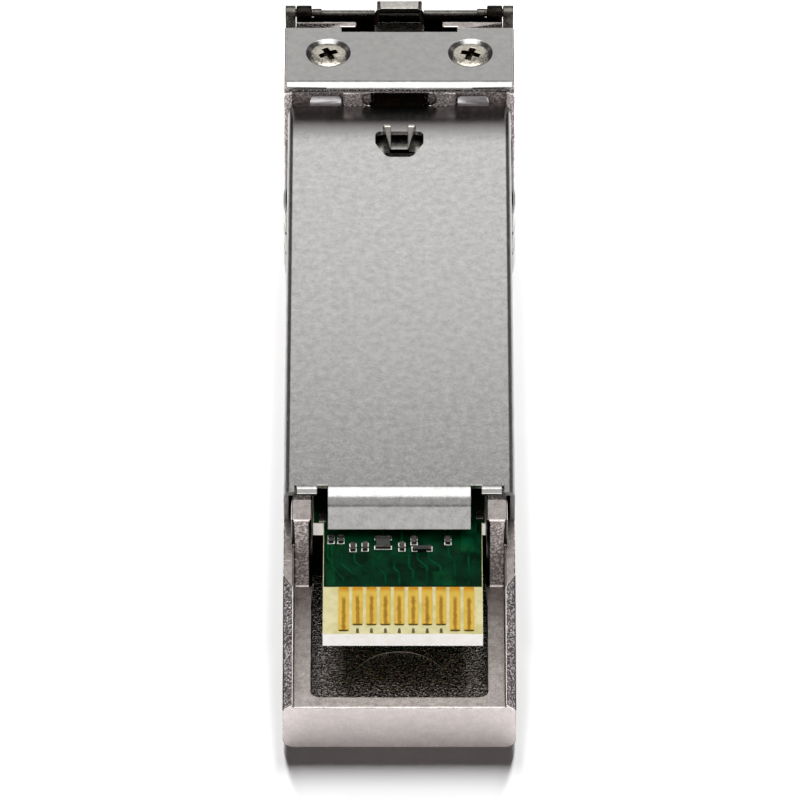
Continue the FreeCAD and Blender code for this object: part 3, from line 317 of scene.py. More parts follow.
# Soft panels, their glow being the panel's radiance: for the object two behind that the cover and its bends
# mirror, one overhead that is dimmer for the bright cover, three at the camera's side and one on each side;
# for the paper two tall strips from behind, so that its shadow falls to the front only
panels = {  # place, aim and size in millimetres, glow, and the pieces that take its light
    "backPanel": ((0, 152, 93), (0, 0, 8), (96, 92), 0.94, "object"),
    "highBack": ((0, 131, 199), (0, 0, 199), (96, 44), 0.3, "object"),
    "topPanel": ((0, 12, 220), (0, 12, 5), (160, 235), 2.9, "others"),
    "coverTop": ((0, 12, 220), (0, 12, 5), (160, 235), 1.8, "cover"),
    "highFront": ((0, -260, 240), (0, -20, 4), (640, 260), 0.40, "object"),
    "lowFront": ((0, -330, 40), (0, -20, 4), (640, 80), 0.74, "object"),
    "nearFront": ((0, -95, 6), (0, -20, 4), (160, 12), 2.4, "rearEnd"),
    "leftPanel": ((-230, 20, 110), (0, 0, 4), (330, 160), 0.5, "object"),
    "rightPanel": ((230, 20, 110), (0, 0, 4), (330, 160), 0.5, "object"),
    "paperLeft": ((-45, 220, 212), (0, -20, 0), (30, 320), 52.0, "paper"),
    "paperRight": ((45, 220, 212), (0, -20, 0), (30, 320), 52.0, "paper"),
}
takers = {name: bpy.data.collections.new(name + "Takers")
          for name in ("object", "cover", "others", "rearEnd", "paper")}
for name, (spot, aim, size, glow, taker) in panels.items():
    light = bpy.data.lights.new(name, "AREA")
    light.shape = "RECTANGLE"
    light.size = size[0] * mm
    light.size_y = size[1] * mm
    light.energy = glow * math.pi * light.size * light.size_y
    lamp = addObject(name, light)
    lamp.location = Vector(spot) * mm
    lamp.rotation_euler = (Vector(aim) - Vector(spot)).to_track_quat("-Z", "Y").to_euler()
    lamp.light_linking.receiver_collection = takers[taker]
    lamp.visible_camera = False

worldSet = {"colour": "#f2e2e8", "strength": 0.08}
world = bpy.data.worlds.new("studio")
bpy.context.scene.world = world
world.use_nodes = True
setInputs(world.node_tree, world.node_tree.nodes["Background"],
          {"Color": worldSet["colour"], "Strength": worldSet["strength"]})

# Floor: white paper with a trace of tooth
floorSet = {"dark": "#ececec", "light": "#f2f2f2", "tooth": 4.0, "detail": 4.0, "gloss": 0.9, "reach": 2.0,
            "below": 0.01}
floorMaterial, tree, shader, place = newMaterial("whitePaperSweep")
tooth = addNode(tree, "ShaderNodeTexNoise", {"Vector": place, "Scale": perMm(floorSet["tooth"]),
                                             "Detail": floorSet["detail"]})
paper = addNode(tree, "ShaderNodeMix", {0: tooth, 6: floorSet["dark"], 7: floorSet["light"]}, **inColour)
setInputs(tree, shader, {"Base Color": paper, "Roughness": floorSet["gloss"]})
floorMesh = bpy.data.meshes.new("floor")
reach = floorSet["reach"]
corners = [(-reach, -reach, 0), (reach, -reach, 0), (reach, reach, 0), (-reach, reach, 0)]
floorMesh.from_pydata(corners, [], [(0, 1, 2, 3)])
floorMesh.materials.append(floorMaterial)
floor = addObject("floor", floorMesh)
floor.location.z = -floorSet["below"] * mm
takers["paper"].objects.link(floor)
print("stage ready")

mergeSet = {"gap": 0.002, "bend": 0.5}  # vertices closer than the gap and faces bent less than this become one
edgeSet = {"bend": 30, "sharp": 38, "thinShare": 0.5}  # degrees, and the share of the width on a thin lip


def newPiece(name, work):
    # a new object from a bmesh in millimetres
    mesh = bpy.data.meshes.new(name)
    work.to_mesh(mesh)
    work.free()
    return addObject(name, mesh)


def mergedCopy(node, name):
    # a copy of a node's mesh in millimetres, with its loose triangles joined into flat faces
    work = bmesh.new()
    work.from_mesh(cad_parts[node].data)
    bmesh.ops.scale(work, vec=(1 / mm, 1 / mm, 1 / mm), verts=work.verts)
    bmesh.ops.remove_doubles(work, verts=work.verts, dist=mergeSet["gap"])
    bend = math.radians(mergeSet["bend"])
    bmesh.ops.dissolve_limit(work, angle_limit=bend, verts=work.verts, edges=work.edges)
    return newPiece(name, work)


def applyModifiers(piece):
    shaped = piece.evaluated_get(bpy.context.evaluated_depsgraph_get())
    mesh = bpy.data.meshes.new_from_object(shaped)
    old = piece.data
    piece.modifiers.clear()
    piece.data = mesh
    bpy.data.meshes.remove(old)
    mesh.name = piece.name


def softenEdges(piece, width, segments=3, hollow=None, thin=None):
    # rounds sharp outer edges, and the inner ones that the hollow test accepts; less where the thin test says so
    work = bmesh.new()
    work.from_mesh(piece.data)
    weights = work.edges.layers.float.new("bevel_weight_edge")
    for edge in work.edges:
        if len(edge.link_faces) != 2 or edge.calc_face_angle(0) < math.radians(edgeSet["bend"]):
            continue
        middle = (edge.verts[0].co + edge.verts[1].co) / 2
        if edge.is_convex or (hollow and hollow(middle)):
            edge[weights] = edgeSet["thinShare"] if thin and thin(middle) else 1.0
    work.to_mesh(piece.data)
    work.free()
    bevel = piece.modifiers.new("edges", "BEVEL")
    bevel.width = width
    bevel.segments = segments
    bevel.limit_method = "WEIGHT"
    bevel.use_clamp_overlap = False
    bevel.miter_outer = "MITER_ARC"
    applyModifiers(piece)
    for polygon in piece.data.polygons:
        polygon.use_smooth = True
    piece.data.set_sharp_from_angle(angle=math.radians(edgeSet["sharp"]))
    weighted = piece.modifiers.new("normals", "WEIGHTED_NORMAL")
    weighted.keep_sharp = True
    applyModifiers(piece)


def settle(piece, body, nodes, slot, material=None):
    # brings a finished piece to metres, gives it its finish and puts it on its body
    piece.data.transform(Matrix.Scale(mm, 4))
    if material:
        piece.data.materials.clear()
        piece.data.materials.append(materials[material])
    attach(piece, body)
    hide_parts(*nodes)
    takers["object"].objects.link(piece)
    takers["cover" if slot == "cover_sheet" else "others"].objects.link(piece)
    if slot in ("cast_zinc", "board_mask"):
        takers["rearEnd"].objects.link(piece)
    print("settled", piece.name, len(piece.data.polygons))


def paintFaces(piece, names, choose):
    # more finishes on a settled piece; the test gets a face, its place across, its station and its level
    for name in names:
        piece.data.materials.append(materials[name])
    for face in piece.data.polygons:
        x, y, level = face.center / mm
        name = choose(face, x, y - rearEnd, level)
        if name:
            face.material_index = piece.data.materials.find(name)


# Housing: falling skirts, a raised lip and an ejector-pin ring; painted shade in hollows and corners, and
# burnished edges lightened as a painted highlight
skirtSet = {"outer": 6.7, "rear": (0, 3.4), "bend": (6.7, 6.3), "drop": 0.45}
footSet = {"to": 10.6, "low": 3.0}  # the foot of the posts catches light
lipSet = {"from": 55.2, "low": 8.85, "high": 8.99, "lift": 0.05}  # the lip in front of the groove
ringSet = {"radius": 2.85, "round": 0.05, "station": 4.0, "level": 1.2, "around": 96, "across": 16}
caveSet = {"from": 10.2, "to": 45.0, "half": 5.3, "low": 1.3, "top": 8.0, "corner": 10.8, "turn": 0.3}
grooveSet = {"from": 53.4, "post": 54.2, "postInner": 5.2, "low": 7.7, "ridge": 9.72, "front": 0.5, "side": 0.8}
rimSet = {"area": 0.6, "flat": 0.985, "up": 0.05, "to": 12.5, "outer": 6.55, "turn": 0.25}


def isFoot(spot):
    return spot.y < rearEnd + footSet["to"] and spot.z > footSet["low"]


def isLip(spot):
    return spot.y > rearEnd + lipSet["from"] and lipSet["low"] < spot.z < lipSet["high"]


def lowerSkirts(piece):
    # the outer edge falls by the drop, level with the bend that it meets
    (rear, low), (bend, high), drop = skirtSet["rear"], skirtSet["bend"], skirtSet["drop"]
    for vert in piece.data.vertices:
        station = vert.co.y - rearEnd
        if abs(abs(vert.co.x) - skirtSet["outer"]) > snap:
            continue
        if abs(station - rear) < snap and abs(vert.co.z - low) < snap:
            vert.co.z -= drop
        if abs(station - bend) < snap and abs(vert.co.z - high) < snap:
            vert.co.y += drop * (bend - rear) / (high - low)


def addRing(piece):
    # a low round bead on the pocket's floor
    work = bmesh.new()
    work.from_mesh(piece.data)
    rings = []
    for index in range(ringSet["around"]):
        turn = math.tau * index / ringSet["around"]
        ring = []
        for step in range(ringSet["across"]):
            tilt = math.tau * step / ringSet["across"]
            reach = ringSet["radius"] + ringSet["round"] * math.cos(tilt)
            spot = (reach * math.cos(turn), rearEnd + ringSet["station"] + reach * math.sin(turn),
                    ringSet["level"] + ringSet["round"] * math.sin(tilt))
            ring.append(work.verts.new(spot))
        rings.append(ring)
    for index, ring in enumerate(rings):
        after = rings[(index + 1) % len(rings)]
        for step in range(len(ring)):
            work.faces.new((ring[step - 1], after[step - 1], after[step], ring[step]))
    work.to_mesh(piece.data)
    work.free()


def shapeHousing(piece):
    lowerSkirts(piece)
    for vert in piece.data.vertices:
        if isLip(vert.co):
            vert.co.z += lipSet["lift"]
    addRing(piece)
    piece.visible_diffuse = False  # no bounce from it on the paper


def housingFinish(face, x, station, level):
    # painted shade in the groove, on its posts, inside and at the posts' corners; burnished, with a painted
    # highlight, on rounded edges
    way, out = face.normal, abs(x)
    inGroove = (station > grooveSet["from"] and grooveSet["low"] < level < grooveSet["ridge"]
                and way.y < grooveSet["front"])
    onPost = station > grooveSet["post"] and out > grooveSet["postInner"] and level > grooveSet["ridge"]
    inside = (caveSet["from"] < station < caveSet["to"] and out < caveSet["half"]
              and caveSet["low"] < level < caveSet["top"])
    corner = (caveSet["from"] < station < caveSet["corner"] and abs(way.x) > caveSet["turn"]
              and way.y < -caveSet["turn"])
    if inside or corner or abs(way.x) < grooveSet["side"] and (inGroove or onPost):
        return "oilStainedCasting"
    if (face.area < rimSet["area"] * mm * mm and max(abs(part) for part in way) < rimSet["flat"]
            and way.z > rimSet["up"]):  # a rounded edge; the skirts' outer ones get painted shade too
        onRim = station < rimSet["to"] and out > rimSet["outer"] and abs(way.x) > rimSet["turn"]
        return "oilStainedCasting" if onRim else "burnishedCastingEdge"


# Cover: its front tabs bend up so that they catch the light from above, and are painted near-white as a highlight;
# flanges and corner lips are painted grey as shade
tabSet = {"from": 47.9, "lift": 0.07, "highlightFrom": 47.55, "lipTo": 12.9, "lipOuter": 4.7, "lipTurn": 0.1,
          "side": 0.6}


def shapeCover(piece):
    for vert in piece.data.vertices:
        if vert.co.y > rearEnd + tabSet["from"]:
            vert.co.z += tabSet["lift"]


def coverFinish(face, x, station, level):
    onLip = station < tabSet["lipTo"] and abs(x) > tabSet["lipOuter"] and face.normal.y < -tabSet["lipTurn"]
    if station > tabSet["highlightFrom"]:
        return "scuffedNickelTab"
    # faces turned sideways and lips turned to the rear get painted shade
    if onLip or abs(face.normal.x) > tabSet["side"]:
        return "dulledNickelFlange"


# Bail: its legs lie close to the head
legSet = {"inner": 6.33, "shift": 0.045}


def shapeBail(piece):
    for vert in piece.data.vertices:
        if abs(abs(vert.co.x) - legSet["inner"]) < snap:
            vert.co.x -= math.copysign(legSet["shift"], vert.co.x)


# Lever: painted shade on the hood's inner side and on the riser
hoodSet = {"from": 54.2, "under": 10.3, "riser": (47.0, 50.2), "riserFoot": 7.0, "turn": 0.3}


def leverFinish(face, x, station, level):
    inside = station > hoodSet["from"] and level < hoodSet["under"]
    onRiser = hoodSet["riser"][0] < station < hoodSet["riser"][1] and level > hoodSet["riserFoot"]
    if (inside or onRiser) and min(face.normal.y, face.normal.z) < -hoodSet["turn"]:
        return "darkenedBendSteel"


# Rigid pieces whose shape the frame already has: copies with softened edges and a finish
softPieces = {  # name, body, slot, finish, rounding of the edges in millimetres
    "housing": ("cast_housing", "module", "cast_zinc", "nickelPlatedZincCasting", 0.09),
    "bottom_cover": ("folded_cover", "module", "cover_sheet", "brightNickelSheet", 0.04),
    "latch_plate": ("curled_plate", "module", "plate_sheet", "satinNickelPlate", 0.04),
    "latch_lever": ("stamped_lever", "lever", "lever_steel", "platedSteelStamping", 0.05),
    "bail": ("wire_bail", "bail", "bail_steel", "darkPlatedWire", 0.05),
    "emi_spring_left": ("left_side_spring", "module", "spring_sheet", "rolledSpringSteel", 0.03),
    "emi_spring_right": ("right_side_spring", "module", "spring_sheet", "rolledSpringSteel", 0.03),
    "controller_chip": ("controller_package", "module", "package_resin", "mouldedEpoxyPackage", 0.06),
    "driver_chip": ("driver_package", "module", "package_resin", "mouldedEpoxyPackage", 0.06),
    "amplifier_chip": ("amplifier_package", "module", "package_resin", "mouldedEpoxyPackage", 0.06),
    "transmitter_barrel": ("transmitter_turning", "module", "turned_steel", "turnedStainlessSteel", 0.05),
    "receiver_barrel": ("receiver_turning", "module", "turned_steel", "turnedStainlessSteel", 0.05),
    "transmitter_can": ("transmitter_header_can", "module", "can_steel", "goldFlashedCan", 0.06),
    "receiver_can": ("receiver_header_can", "module", "can_steel", "goldFlashedCan", 0.06),
    "transmitter_sleeve": ("transmitter_split_sleeve", "module", "white_ceramic", "groundZirconia", 0.03),
    "receiver_sleeve": ("receiver_split_sleeve", "module", "white_ceramic", "groundZirconia", 0.03),
    "transmitter_flex": ("transmitter_film", "module", "amber_film", "polyimideFilm", 0.02),
    "receiver_flex": ("receiver_film", "module", "amber_film", "polyimideFilm", 0.02),
    "optics_clamp": ("moulded_clamp", "module", "clamp_plastic", "mouldedNylonBlack", 0.06),
}
shapers = {"housing": shapeHousing, "bottom_cover": shapeCover, "bail": shapeBail}
edgeTests = {"housing": {"hollow": isFoot, "thin": isLip}}
painters = {"housing": (("oilStainedCasting", "burnishedCastingEdge"), housingFinish),
            "bottom_cover": (("dulledNickelFlange", "scuffedNickelTab"), coverFinish),
            "latch_lever": (("darkenedBendSteel",), leverFinish)}
for node, (name, body, slot, material, edge) in softPieces.items():
    piece = mergedCopy(node, name)
    if node in shapers:
        shapers[node](piece)
    softenEdges(piece, edge, **edgeTests.get(node, {}))
    settle(piece, body, [node], slot, material)
    if node in painters:
        paintFaces(piece, *painters[node])

# Leaf spring below the lever
leafSet = {"foot": rearEnd + 48.0, "floor": 6.75, "keep": 0.25, "edge": 0.02}
leaf = mergedCopy("latch_spring", "arched_leaf_spring")
softenEdges(leaf, leafSet["edge"])
settle(leaf, "module", ["latch_spring"], "spring_leaf", "rolledSpringSteel")
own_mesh(leaf)


def newTree(name, sizes):
    # a geometry tree with one number input for each named size
    tree = bpy.data.node_groups.new(name, "GeometryNodeTree")
    tree.interface.new_socket("Geometry", in_out="INPUT", socket_type="NodeSocketGeometry")
    for size in sizes:
        tree.interface.new_socket(size, in_out="INPUT", socket_type="NodeSocketFloat")
    tree.interface.new_socket("Geometry", in_out="OUTPUT", socket_type="NodeSocketGeometry")
    return tree, addNode(tree, "NodeGroupInput").outputs


def joinParts(tree, parts):
    joined = addNode(tree, "GeometryNodeJoinGeometry")
    for part in parts:
        setInputs(tree, joined, (part,))
    return joined


def spread(tree, points, instance, **more):
    # an instance on each point, turned by the angle that the point carries
    turn = addNode(tree, "GeometryNodeInputNamedAttribute", {"Name": "turn"}, data_type="FLOAT")
    spin = addNode(tree, "ShaderNodeCombineXYZ", {"Z": turn})
    inputs = {"Points": points, "Instance": instance, "Rotation": spin, **more}
    return addNode(tree, "GeometryNodeInstanceOnPoints", inputs)


def closeTree(tree, parts):
    # realises each part, gives it its material and joins them all
    finished = []
    for geometry, material in parts:
        real = addNode(tree, "GeometryNodeRealizeInstances", {"Geometry": geometry})
        coated = addNode(tree, "GeometryNodeSetMaterial", {"Geometry": real, "Material": materials[material]})
        finished.append(coated)
    addNode(tree, "NodeGroupOutput", (joinParts(tree, finished),))


def grow(name, source, tree, sizes):
    # runs a tree on a mesh or curve and keeps the plain mesh
    piece = addObject(name, source)
    modifier = piece.modifiers.new("grow", "NODES")
    modifier.node_group = tree
    for item in tree.interface.items_tree:
        if item.in_out == "INPUT" and item.name in sizes:
            modifier[item.identifier] = sizes[item.name]
    shaped = piece.evaluated_get(bpy.context.evaluated_depsgraph_get())
    mesh = bpy.data.meshes.new_from_object(shaped)
    bpy.data.objects.remove(piece)
    return addObject(name, mesh)


def pointMesh(name, spots, level):
    # points at one level from their place across, their station and their turn in degrees
    mesh = bpy.data.meshes.new(name)
    mesh.from_pydata([(x, rearEnd + station, level) for x, station, angle in spots], [], [])
    turn = mesh.attributes.new("turn", "FLOAT", "POINT")
    for index, (x, station, angle) in enumerate(spots):
        turn.data[index].value = math.radians(angle)
    return mesh


def joinPieces(name, pieces):
    # one object from several, with their materials kept
    mesh = bpy.data.meshes.new(name)
    work = bmesh.new()
    for piece in pieces:
        start = len(work.faces)
        work.from_mesh(piece.data)
        work.faces.ensure_lookup_table()
        for face in work.faces[start:]:
            material = piece.data.materials[face.material_index]
            if material.name not in mesh.materials:
                mesh.materials.append(material)
            face.material_index = mesh.materials.find(material.name)
    work.to_mesh(mesh)
    work.free()
    for piece in pieces:
        bpy.data.objects.remove(piece)
    return addObject(name, mesh)


# Contacts: a rounded flat of gold at each point
contactSet = {"count": 10, "pitch": 0.8, "inner": 7.15, "short": 3.95, "long": 3.44, "width": 0.6,
              "corner": 0.12, "cornerSteps": 5, "height": 0.07, "tongue": 0.2, "stagger": 0.2, "weld": 0.001}
contactRows = {
    "edge_contacts_bottom": {"name": "latch_side_contacts", "long": (0, 8, 9), "side": 1, "level": 5.93},
    "edge_contacts_top": {"name": "label_side_contacts", "long": (3, 6, 9), "side": -1, "level": 4.95},
}
tree, given = newTree("contactRow", ["padWidth", "padLength", "cornerRadius", "padHeight"])
flat = addNode(tree, "GeometryNodeCurvePrimitiveQuadrilateral",
               {"Width": given["padWidth"], "Height": given["padLength"]})
rounded = addNode(tree, "GeometryNodeFilletCurve", {"Curve": flat, "Count": contactSet["cornerSteps"],
                                                    "Radius": given["cornerRadius"]}, mode="POLY")
sheet = addNode(tree, "GeometryNodeFillCurve", {"Curve": rounded}, mode="NGONS")
raised = addNode(tree, "GeometryNodeExtrudeMesh", {"Mesh": sheet, "Offset Scale": given["padHeight"]},
                 mode="FACES")
base = addNode(tree, "GeometryNodeFlipFaces", {"Mesh": sheet})
marked = addNode(tree, "GeometryNodeMergeByDistance", {"Geometry": joinParts(tree, (raised, base)),
                                                       "Distance": contactSet["weld"]})
spot = addNode(tree, "ShaderNodeSeparateXYZ", (addNode(tree, "GeometryNodeInputPosition"),)).outputs
share = addNode(tree, "ShaderNodeMath", (spot["Y"], given["padLength"]), operation="DIVIDE")
for name, value in (("across", spot["X"]), ("along", share)):
    marked = addNode(tree, "GeometryNodeStoreNamedAttribute",
                     {"Geometry": marked, "Name": name, "Value": value})
closeTree(tree, [(spread(tree, given["Geometry"], marked), "wipedHardGold")])


def contactPlace(index, side):
    # where a contact lies across the board; the two rows are staggered
    return (contactSet["tongue"] + side * contactSet["stagger"]
            + (index - (contactSet["count"] - 1) / 2) * contactSet["pitch"])


for node, rowSet in contactRows.items():
    grown = []
    for kind in ("short", "long"):
        station = (contactSet["inner"] + contactSet[kind]) / 2
        spots = [(contactPlace(index, rowSet["side"]), station, 0) for index in range(contactSet["count"])
                 if (index in rowSet["long"]) == (kind == "long")]
        sizes = {"padWidth": contactSet["width"], "padLength": contactSet["inner"] - contactSet[kind],
                 "cornerRadius": contactSet["corner"], "padHeight": contactSet["height"]}
        grown.append(grow(kind, pointMesh(kind, spots, rowSet["level"]), tree, sizes))
    settle(joinPieces(rowSet["name"], grown), "module", [node], "contact_gold")

# Chip components: a body between two tinned ends, each end with a low foot of solder
boardTop = 5.95
chipSet = {"bodyWidth": 0.9, "bodyHeight": 0.92, "edge": 0.02, "edgeSteps": 2}  # body as a share of the ends
chipMeasures = ("chipLength", "chipWidth", "chipHeight", "capLength", "footReach", "footHeight")
chipKinds = {  # in the order of the measures
    "small": (0.6, 0.3, 0.3, 0.17, 0.14, 0.12),
    "coil": (1.0, 0.9, 0.3, 0.18, 0.14, 0.13),
    "bar": (1.1, 0.33, 0.28, 0.22, 0.13, 0.12),
}
chipGroups = {
    "chip_capacitors": {"name": "capacitor_chips", "slot": "chip_ceramic", "body": "firedChipCeramic",
                        "small": [(-4.46, 13.1, 0), (-2.68, 10.45, 0), (-1.98, 10.5, 0), (0.15, 10.5, 0),
                                  (0.85, 11.05, 0), (2.81, 11.05, 0), (4.65, 13.35, 0)]},
    "chip_resistors": {"name": "resistor_chips", "slot": "chip_resistive", "body": "glazedResistorBlack",
                       "small": [(-3.95, 11.15, 0), (-3.38, 11.15, 0)],
                       "coil": [(-0.94, 10.85, 0)], "bar": [(1.31, 10.35, 90)]},
}


def chipTree(name, bodyMaterial):
    tree, given = newTree(name, chipMeasures)
    half = addNode(tree, "ShaderNodeMath", (given["chipHeight"], 0.5), operation="MULTIPLY")
    slim = addNode(tree, "ShaderNodeMath", (given["chipWidth"], chipSet["bodyWidth"]), operation="MULTIPLY")
    low = addNode(tree, "ShaderNodeMath", (given["chipHeight"], chipSet["bodyHeight"]), operation="MULTIPLY")
    between = addNode(tree, "ShaderNodeMath", (given["chipLength"], given["capLength"]), operation="SUBTRACT")
    offset = addNode(tree, "ShaderNodeMath", (between, 0.5), operation="MULTIPLY")
    footWide = addNode(tree, "ShaderNodeMath", (given["chipWidth"], given["footReach"]), operation="ADD")
    footLong = addNode(tree, "ShaderNodeMath", (given["capLength"], given["footReach"]), operation="ADD")
    footHalf = addNode(tree, "ShaderNodeMath", (given["footHeight"], 0.5), operation="MULTIPLY")
    boxes = (  # size, level of the middle, ends that it stands at, material
        ((slim, between, low), half, (0,), bodyMaterial),
        ((given["chipWidth"], given["capLength"], given["chipHeight"]), half, (-1, 1), "dulledTinCap"),
        ((footWide, footLong, given["footHeight"]), footHalf, (-1, 1), "reflowedTinSolder"),
    )
    parts = []
    for size, level, ends, material in boxes:
        extent = addNode(tree, "ShaderNodeCombineXYZ", size)
        box = addNode(tree, "GeometryNodeMeshCube", {"Size": extent})
        moved = []
        for end in ends:
            along = addNode(tree, "ShaderNodeMath", (offset, float(end)), operation="MULTIPLY")
            shift = addNode(tree, "ShaderNodeCombineXYZ", {"Y": along, "Z": level})
            moved.append(addNode(tree, "GeometryNodeTransform", {"Geometry": box, "Translation": shift}))
        parts.append((spread(tree, given["Geometry"], joinParts(tree, moved)), material))
    closeTree(tree, parts)
    return tree


for node, group in chipGroups.items():
    tree = chipTree(group["name"], group["body"])
    grown = [grow(kind, pointMesh(kind, group[kind], boardTop), tree, dict(zip(chipMeasures, sizes)))
             for kind, sizes in chipKinds.items() if kind in group]
    piece = joinPieces(group["name"], grown)
    softenEdges(piece, chipSet["edge"], segments=chipSet["edgeSteps"])
    settle(piece, "module", [node], group["slot"])

# Screws: raised heads turned on a lathe, each with a cross recess painted dark as shade, spread over the plate's
# two holes
screwSet = {"level": 10.1, "rim": (1.10, -0.16), "seat": (0.85, -0.3), "shank": 0.7, "tip": -2.9, "point": 0.3,
            "crown": -0.02, "domeSteps": 8, "domePower": 2.2, "around": 48, "weld": 0.0005, "edge": 0.03,
            "edgeSteps": 2, "arm": 0.64, "slot": 0.2, "depth": 0.42, "above": 0.1, "taper": 0.7,
            "shadedLevels": (-0.43, -0.1), "spots": [(-4.29, 50.58, 24), (4.29, 50.58, -18)]}
rim, crown, shank, tip = (screwSet[key] for key in ("rim", "crown", "shank", "tip"))
shares = [index / screwSet["domeSteps"] for index in range(screwSet["domeSteps"] + 1)]
profile = [(rim[0] * share, crown + (rim[1] - crown) * share ** screwSet["domePower"]) for share in shares]
profile += [screwSet["seat"], (shank, screwSet["seat"][1]), (shank, tip + screwSet["point"]),
            (shank - screwSet["point"], tip), (0, tip)]
work = bmesh.new()
line = [work.verts.new((r, 0, z)) for r, z in profile]
edges = [work.edges.new(pair) for pair in zip(line, line[1:])]
bmesh.ops.spin(work, geom=line + edges, axis=(0, 0, 1), cent=(0, 0, 0), angle=math.tau,
               steps=screwSet["around"])
bmesh.ops.remove_doubles(work, verts=work.verts, dist=screwSet["weld"])
bmesh.ops.recalc_face_normals(work, faces=work.faces)
turned = newPiece("turned_screw", work)
cutter = bmesh.new()
for size in ((screwSet["arm"], screwSet["slot"]), (screwSet["slot"], screwSet["arm"])):
    for vert in bmesh.ops.create_cube(cutter, size=1.0)["verts"]:
        taper, level = (1.0, screwSet["above"]) if vert.co.z > 0 else (screwSet["taper"], -screwSet["depth"])
        vert.co = Vector((vert.co.x * 2 * size[0] * taper, vert.co.y * 2 * size[1] * taper, level))
cross = newPiece("cross_cutter", cutter)
cut = turned.modifiers.new("recess", "BOOLEAN")
cut.object = cross
cut.operation = "DIFFERENCE"
cut.solver = "EXACT"
cut.use_self = True
applyModifiers(turned)
bpy.data.objects.remove(cross)
softenEdges(turned, screwSet["edge"], segments=screwSet["edgeSteps"])
tree, given = newTree("screwPair", ["screwScale"])
pattern = addNode(tree, "GeometryNodeObjectInfo", {"Object": turned}).outputs["Geometry"]
size = addNode(tree, "ShaderNodeCombineXYZ", [given["screwScale"]] * 3)
closeTree(tree, [(spread(tree, given["Geometry"], pattern, Scale=size), "brightScrewSteel")])
spotMesh = pointMesh("screw_spots", screwSet["spots"], screwSet["level"])
screws = grow("raised_countersunk_screws", spotMesh, tree, {"screwScale": 1.0})
bpy.data.objects.remove(turned)


def screwFinish(face, x, station, level):
    # the recess, painted dark as shade: near a screw's axis and below its crown
    middle, along = screwSet["spots"][1][:2]
    low, high = screwSet["shadedLevels"]
    inReach = math.hypot(abs(x) - middle, station - along) < screwSet["arm"]
    if inReach and low < level - screwSet["level"] < high:
        return "wornRecessSteel"


settle(screws, "module", ["plate_screws"], "screw_steel")
paintFaces(screws, ("wornRecessSteel",), screwFinish)

# Circuit board: bare laminate with routed edges, mask on both faces, raised traces and vias under the mask
boardSet = {"under": 5.0, "skin": 0.02, "rear": 3.2, "front": 33.5, "step": 12.7,
            "tongue": (-4.4, 4.8), "half": 5.0, "maskStart": 7.22, "maskInset": 0.04}


def boardOutline(start, inset):
    # the board's plan from a station onwards, drawn in by an inset
    left, right = boardSet["tongue"][0] + inset, boardSet["tongue"][1] - inset
    wide, step, front = boardSet["half"] - inset, boardSet["step"] + inset, boardSet["front"] - inset
    return [(left, start), (right, start), (right, step), (wide, step),
            (wide, front), (-wide, front), (-wide, step), (left, step)]


def slab(work, outline, low, high, faceIndex, sideIndex):
    # an upright prism over a plan of stations; materials by index for its faces and its sides
    count = len(outline)
    rings = [[work.verts.new((x, rearEnd + station, level)) for x, station in outline] for level in (low, high)]
    work.faces.new(rings[1]).material_index = faceIndex
    work.faces.new(rings[0][::-1]).material_index = faceIndex
    for i in range(count):
        j = (i + 1) % count
        work.faces.new((rings[0][i], rings[0][j], rings[1][j], rings[1][i])).material_index = sideIndex


def closeSlabs(name, work, names):
    # an object from the slabs, with their materials in order
    bmesh.ops.recalc_face_normals(work, faces=work.faces)
    piece = newPiece(name, work)
    for material in names:
        piece.data.materials.append(materials[material])
    return piece


skinTop, skinUnder = boardTop - boardSet["skin"], boardSet["under"] + boardSet["skin"]
work = bmesh.new()
slab(work, boardOutline(boardSet["rear"], 0), skinUnder, skinTop, 0, 1)
for low, high in ((skinTop, boardTop), (boardSet["under"], skinUnder)):
    slab(work, boardOutline(boardSet["maskStart"], boardSet["maskInset"]), low, high, 2, 2)
core = closeSlabs("board_core", work, ("bareGlassLaminate", "routedLaminateEdge", "greenSolderMask"))

traceSet = {"width": 0.16, "height": 0.03, "bend": 0.3, "bendSteps": 4}
traceRuns = [  # places across and stations along each trace, from the contacts inwards
    [(-3.2, 7.3), (-3.2, 7.9), (-3.9, 8.9), (-3.9, 10.8)],
    [(-2.4, 7.3), (-2.4, 8.0), (-3.35, 9.2), (-3.35, 10.8)],
    [(-1.6, 7.3), (-1.6, 8.2), (-2.6, 9.4), (-2.6, 10.1)],
    [(-0.8, 7.3), (-0.8, 8.3), (-1.3, 8.8), (-1.3, 9.6), (-0.95, 10.0), (-0.95, 12.5)],
    [(0.0, 7.3), (0.0, 8.4), (-0.3, 8.8), (-0.3, 9.7), (0.15, 10.2), (0.15, 12.5)],
    [(0.8, 7.3), (0.8, 8.6), (0.55, 8.9), (0.55, 10.4), (0.85, 10.8), (0.85, 12.5)],
    [(1.6, 7.3), (1.6, 8.9), (1.05, 9.6), (1.05, 10.1)],
    [(2.4, 7.3), (2.4, 8.9), (1.7, 9.6), (1.7, 10.1)],
    [(3.2, 7.3), (3.2, 9.4), (2.85, 9.9), (2.85, 10.8)],
    [(4.0, 7.3), (4.0, 10.4), (4.4, 11.0), (4.4, 12.9)],
    [(-4.0, 9.5), (-4.15, 9.8), (-4.15, 12.9)],
]
tree, given = newTree("traceRuns", ["traceWidth", "traceHeight", "bendRadius"])
bent = addNode(tree, "GeometryNodeFilletCurve", {"Curve": given["Geometry"], "Count": traceSet["bendSteps"],
                                                 "Radius": given["bendRadius"]}, mode="POLY")
section = addNode(tree, "GeometryNodeCurvePrimitiveQuadrilateral",
                  {"Width": given["traceWidth"], "Height": given["traceHeight"]})
run = addNode(tree, "GeometryNodeCurveToMesh", {"Curve": bent, "Profile Curve": section, "Fill Caps": True})
closeTree(tree, [(run, "maskOverCopper")])
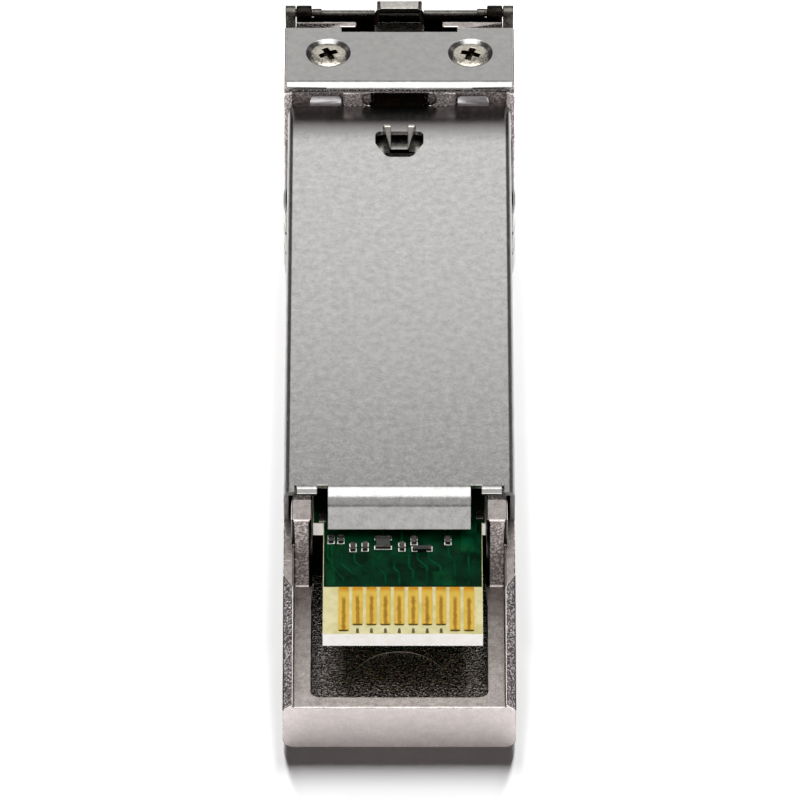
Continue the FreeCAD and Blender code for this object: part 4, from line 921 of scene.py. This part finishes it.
curve = bpy.data.curves.new("traces", "CURVE")
curve.dimensions = "3D"
for stations in traceRuns:
    spline = curve.splines.new("POLY")
    spline.points.add(len(stations) - 1)
    for point, (x, station) in zip(spline.points, stations):
        point.co = (x, rearEnd + station, boardTop, 1)
traces = grow("board_traces", curve, tree, {"traceWidth": traceSet["width"], "traceHeight": traceSet["height"],
                                            "bendRadius": traceSet["bend"]})

viaSet = {"radius": 0.13, "wire": 0.03, "around": 16, "wireSteps": 6,
          "spots": [(-3.95, 9.5), (-2.0, 8.4), (-0.3, 9.3), (0.55, 9.9), (2.0, 8.3), (2.7, 8.6),
                    (3.6, 8.0), (3.6, 9.9), (-1.75, 9.2), (-2.95, 8.0), (1.35, 9.0), (4.35, 9.4)]}
tree, given = newTree("viaRings", ["ringRadius", "ringWidth"])
ring, wire = [addNode(tree, "GeometryNodeCurvePrimitiveCircle",
                      {"Resolution": viaSet[steps], "Radius": given[size]})
              for steps, size in (("around", "ringRadius"), ("wireSteps", "ringWidth"))]
hoop = addNode(tree, "GeometryNodeCurveToMesh", {"Curve": ring, "Profile Curve": wire})
closeTree(tree, [(spread(tree, given["Geometry"], hoop), "maskOverCopper")])
spotMesh = pointMesh("via_spots", [(x, station, 0) for x, station in viaSet["spots"]], boardTop)
vias = grow("board_vias", spotMesh, tree, {"ringRadius": viaSet["radius"], "ringWidth": viaSet["wire"]})

pourSet = {"height": 0.012, "plans": [[(1.9, 7.3), (3.1, 7.3), (3.1, 7.9), (2.9, 8.5), (1.95, 8.5)],
                                      [(-4.2, 7.35), (-3.7, 7.35), (-3.7, 8.6), (-4.2, 8.6)],
                                      [(3.55, 10.2), (4.3, 10.2), (4.3, 12.6), (3.55, 12.6)]]}
stubSet = {"first": 1, "last": 7, "half": 0.1, "narrow": 0.06, "from": 3.28, "to": 3.68, "height": 0.01}
work = bmesh.new()
for plan in pourSet["plans"]:
    slab(work, plan, boardTop, boardTop + pourSet["height"], 0, 0)
for index in range(stubSet["first"], stubSet["last"] + 1):
    x = contactPlace(index, 1)
    stub = [(x - stubSet["half"], stubSet["from"]), (x + stubSet["half"], stubSet["from"]),
            (x + stubSet["narrow"], stubSet["to"]), (x - stubSet["narrow"], stubSet["to"])]
    slab(work, stub, skinTop, skinTop + stubSet["height"], 1, 1)
pours = closeSlabs("board_pours", work, ("maskOverCopper", "etchedCopperStub"))
board = joinPieces("masked_circuit_board", [core, traces, vias, pours])
settle(board, "module", ["circuit_board"], "board_mask")
print("board ready")
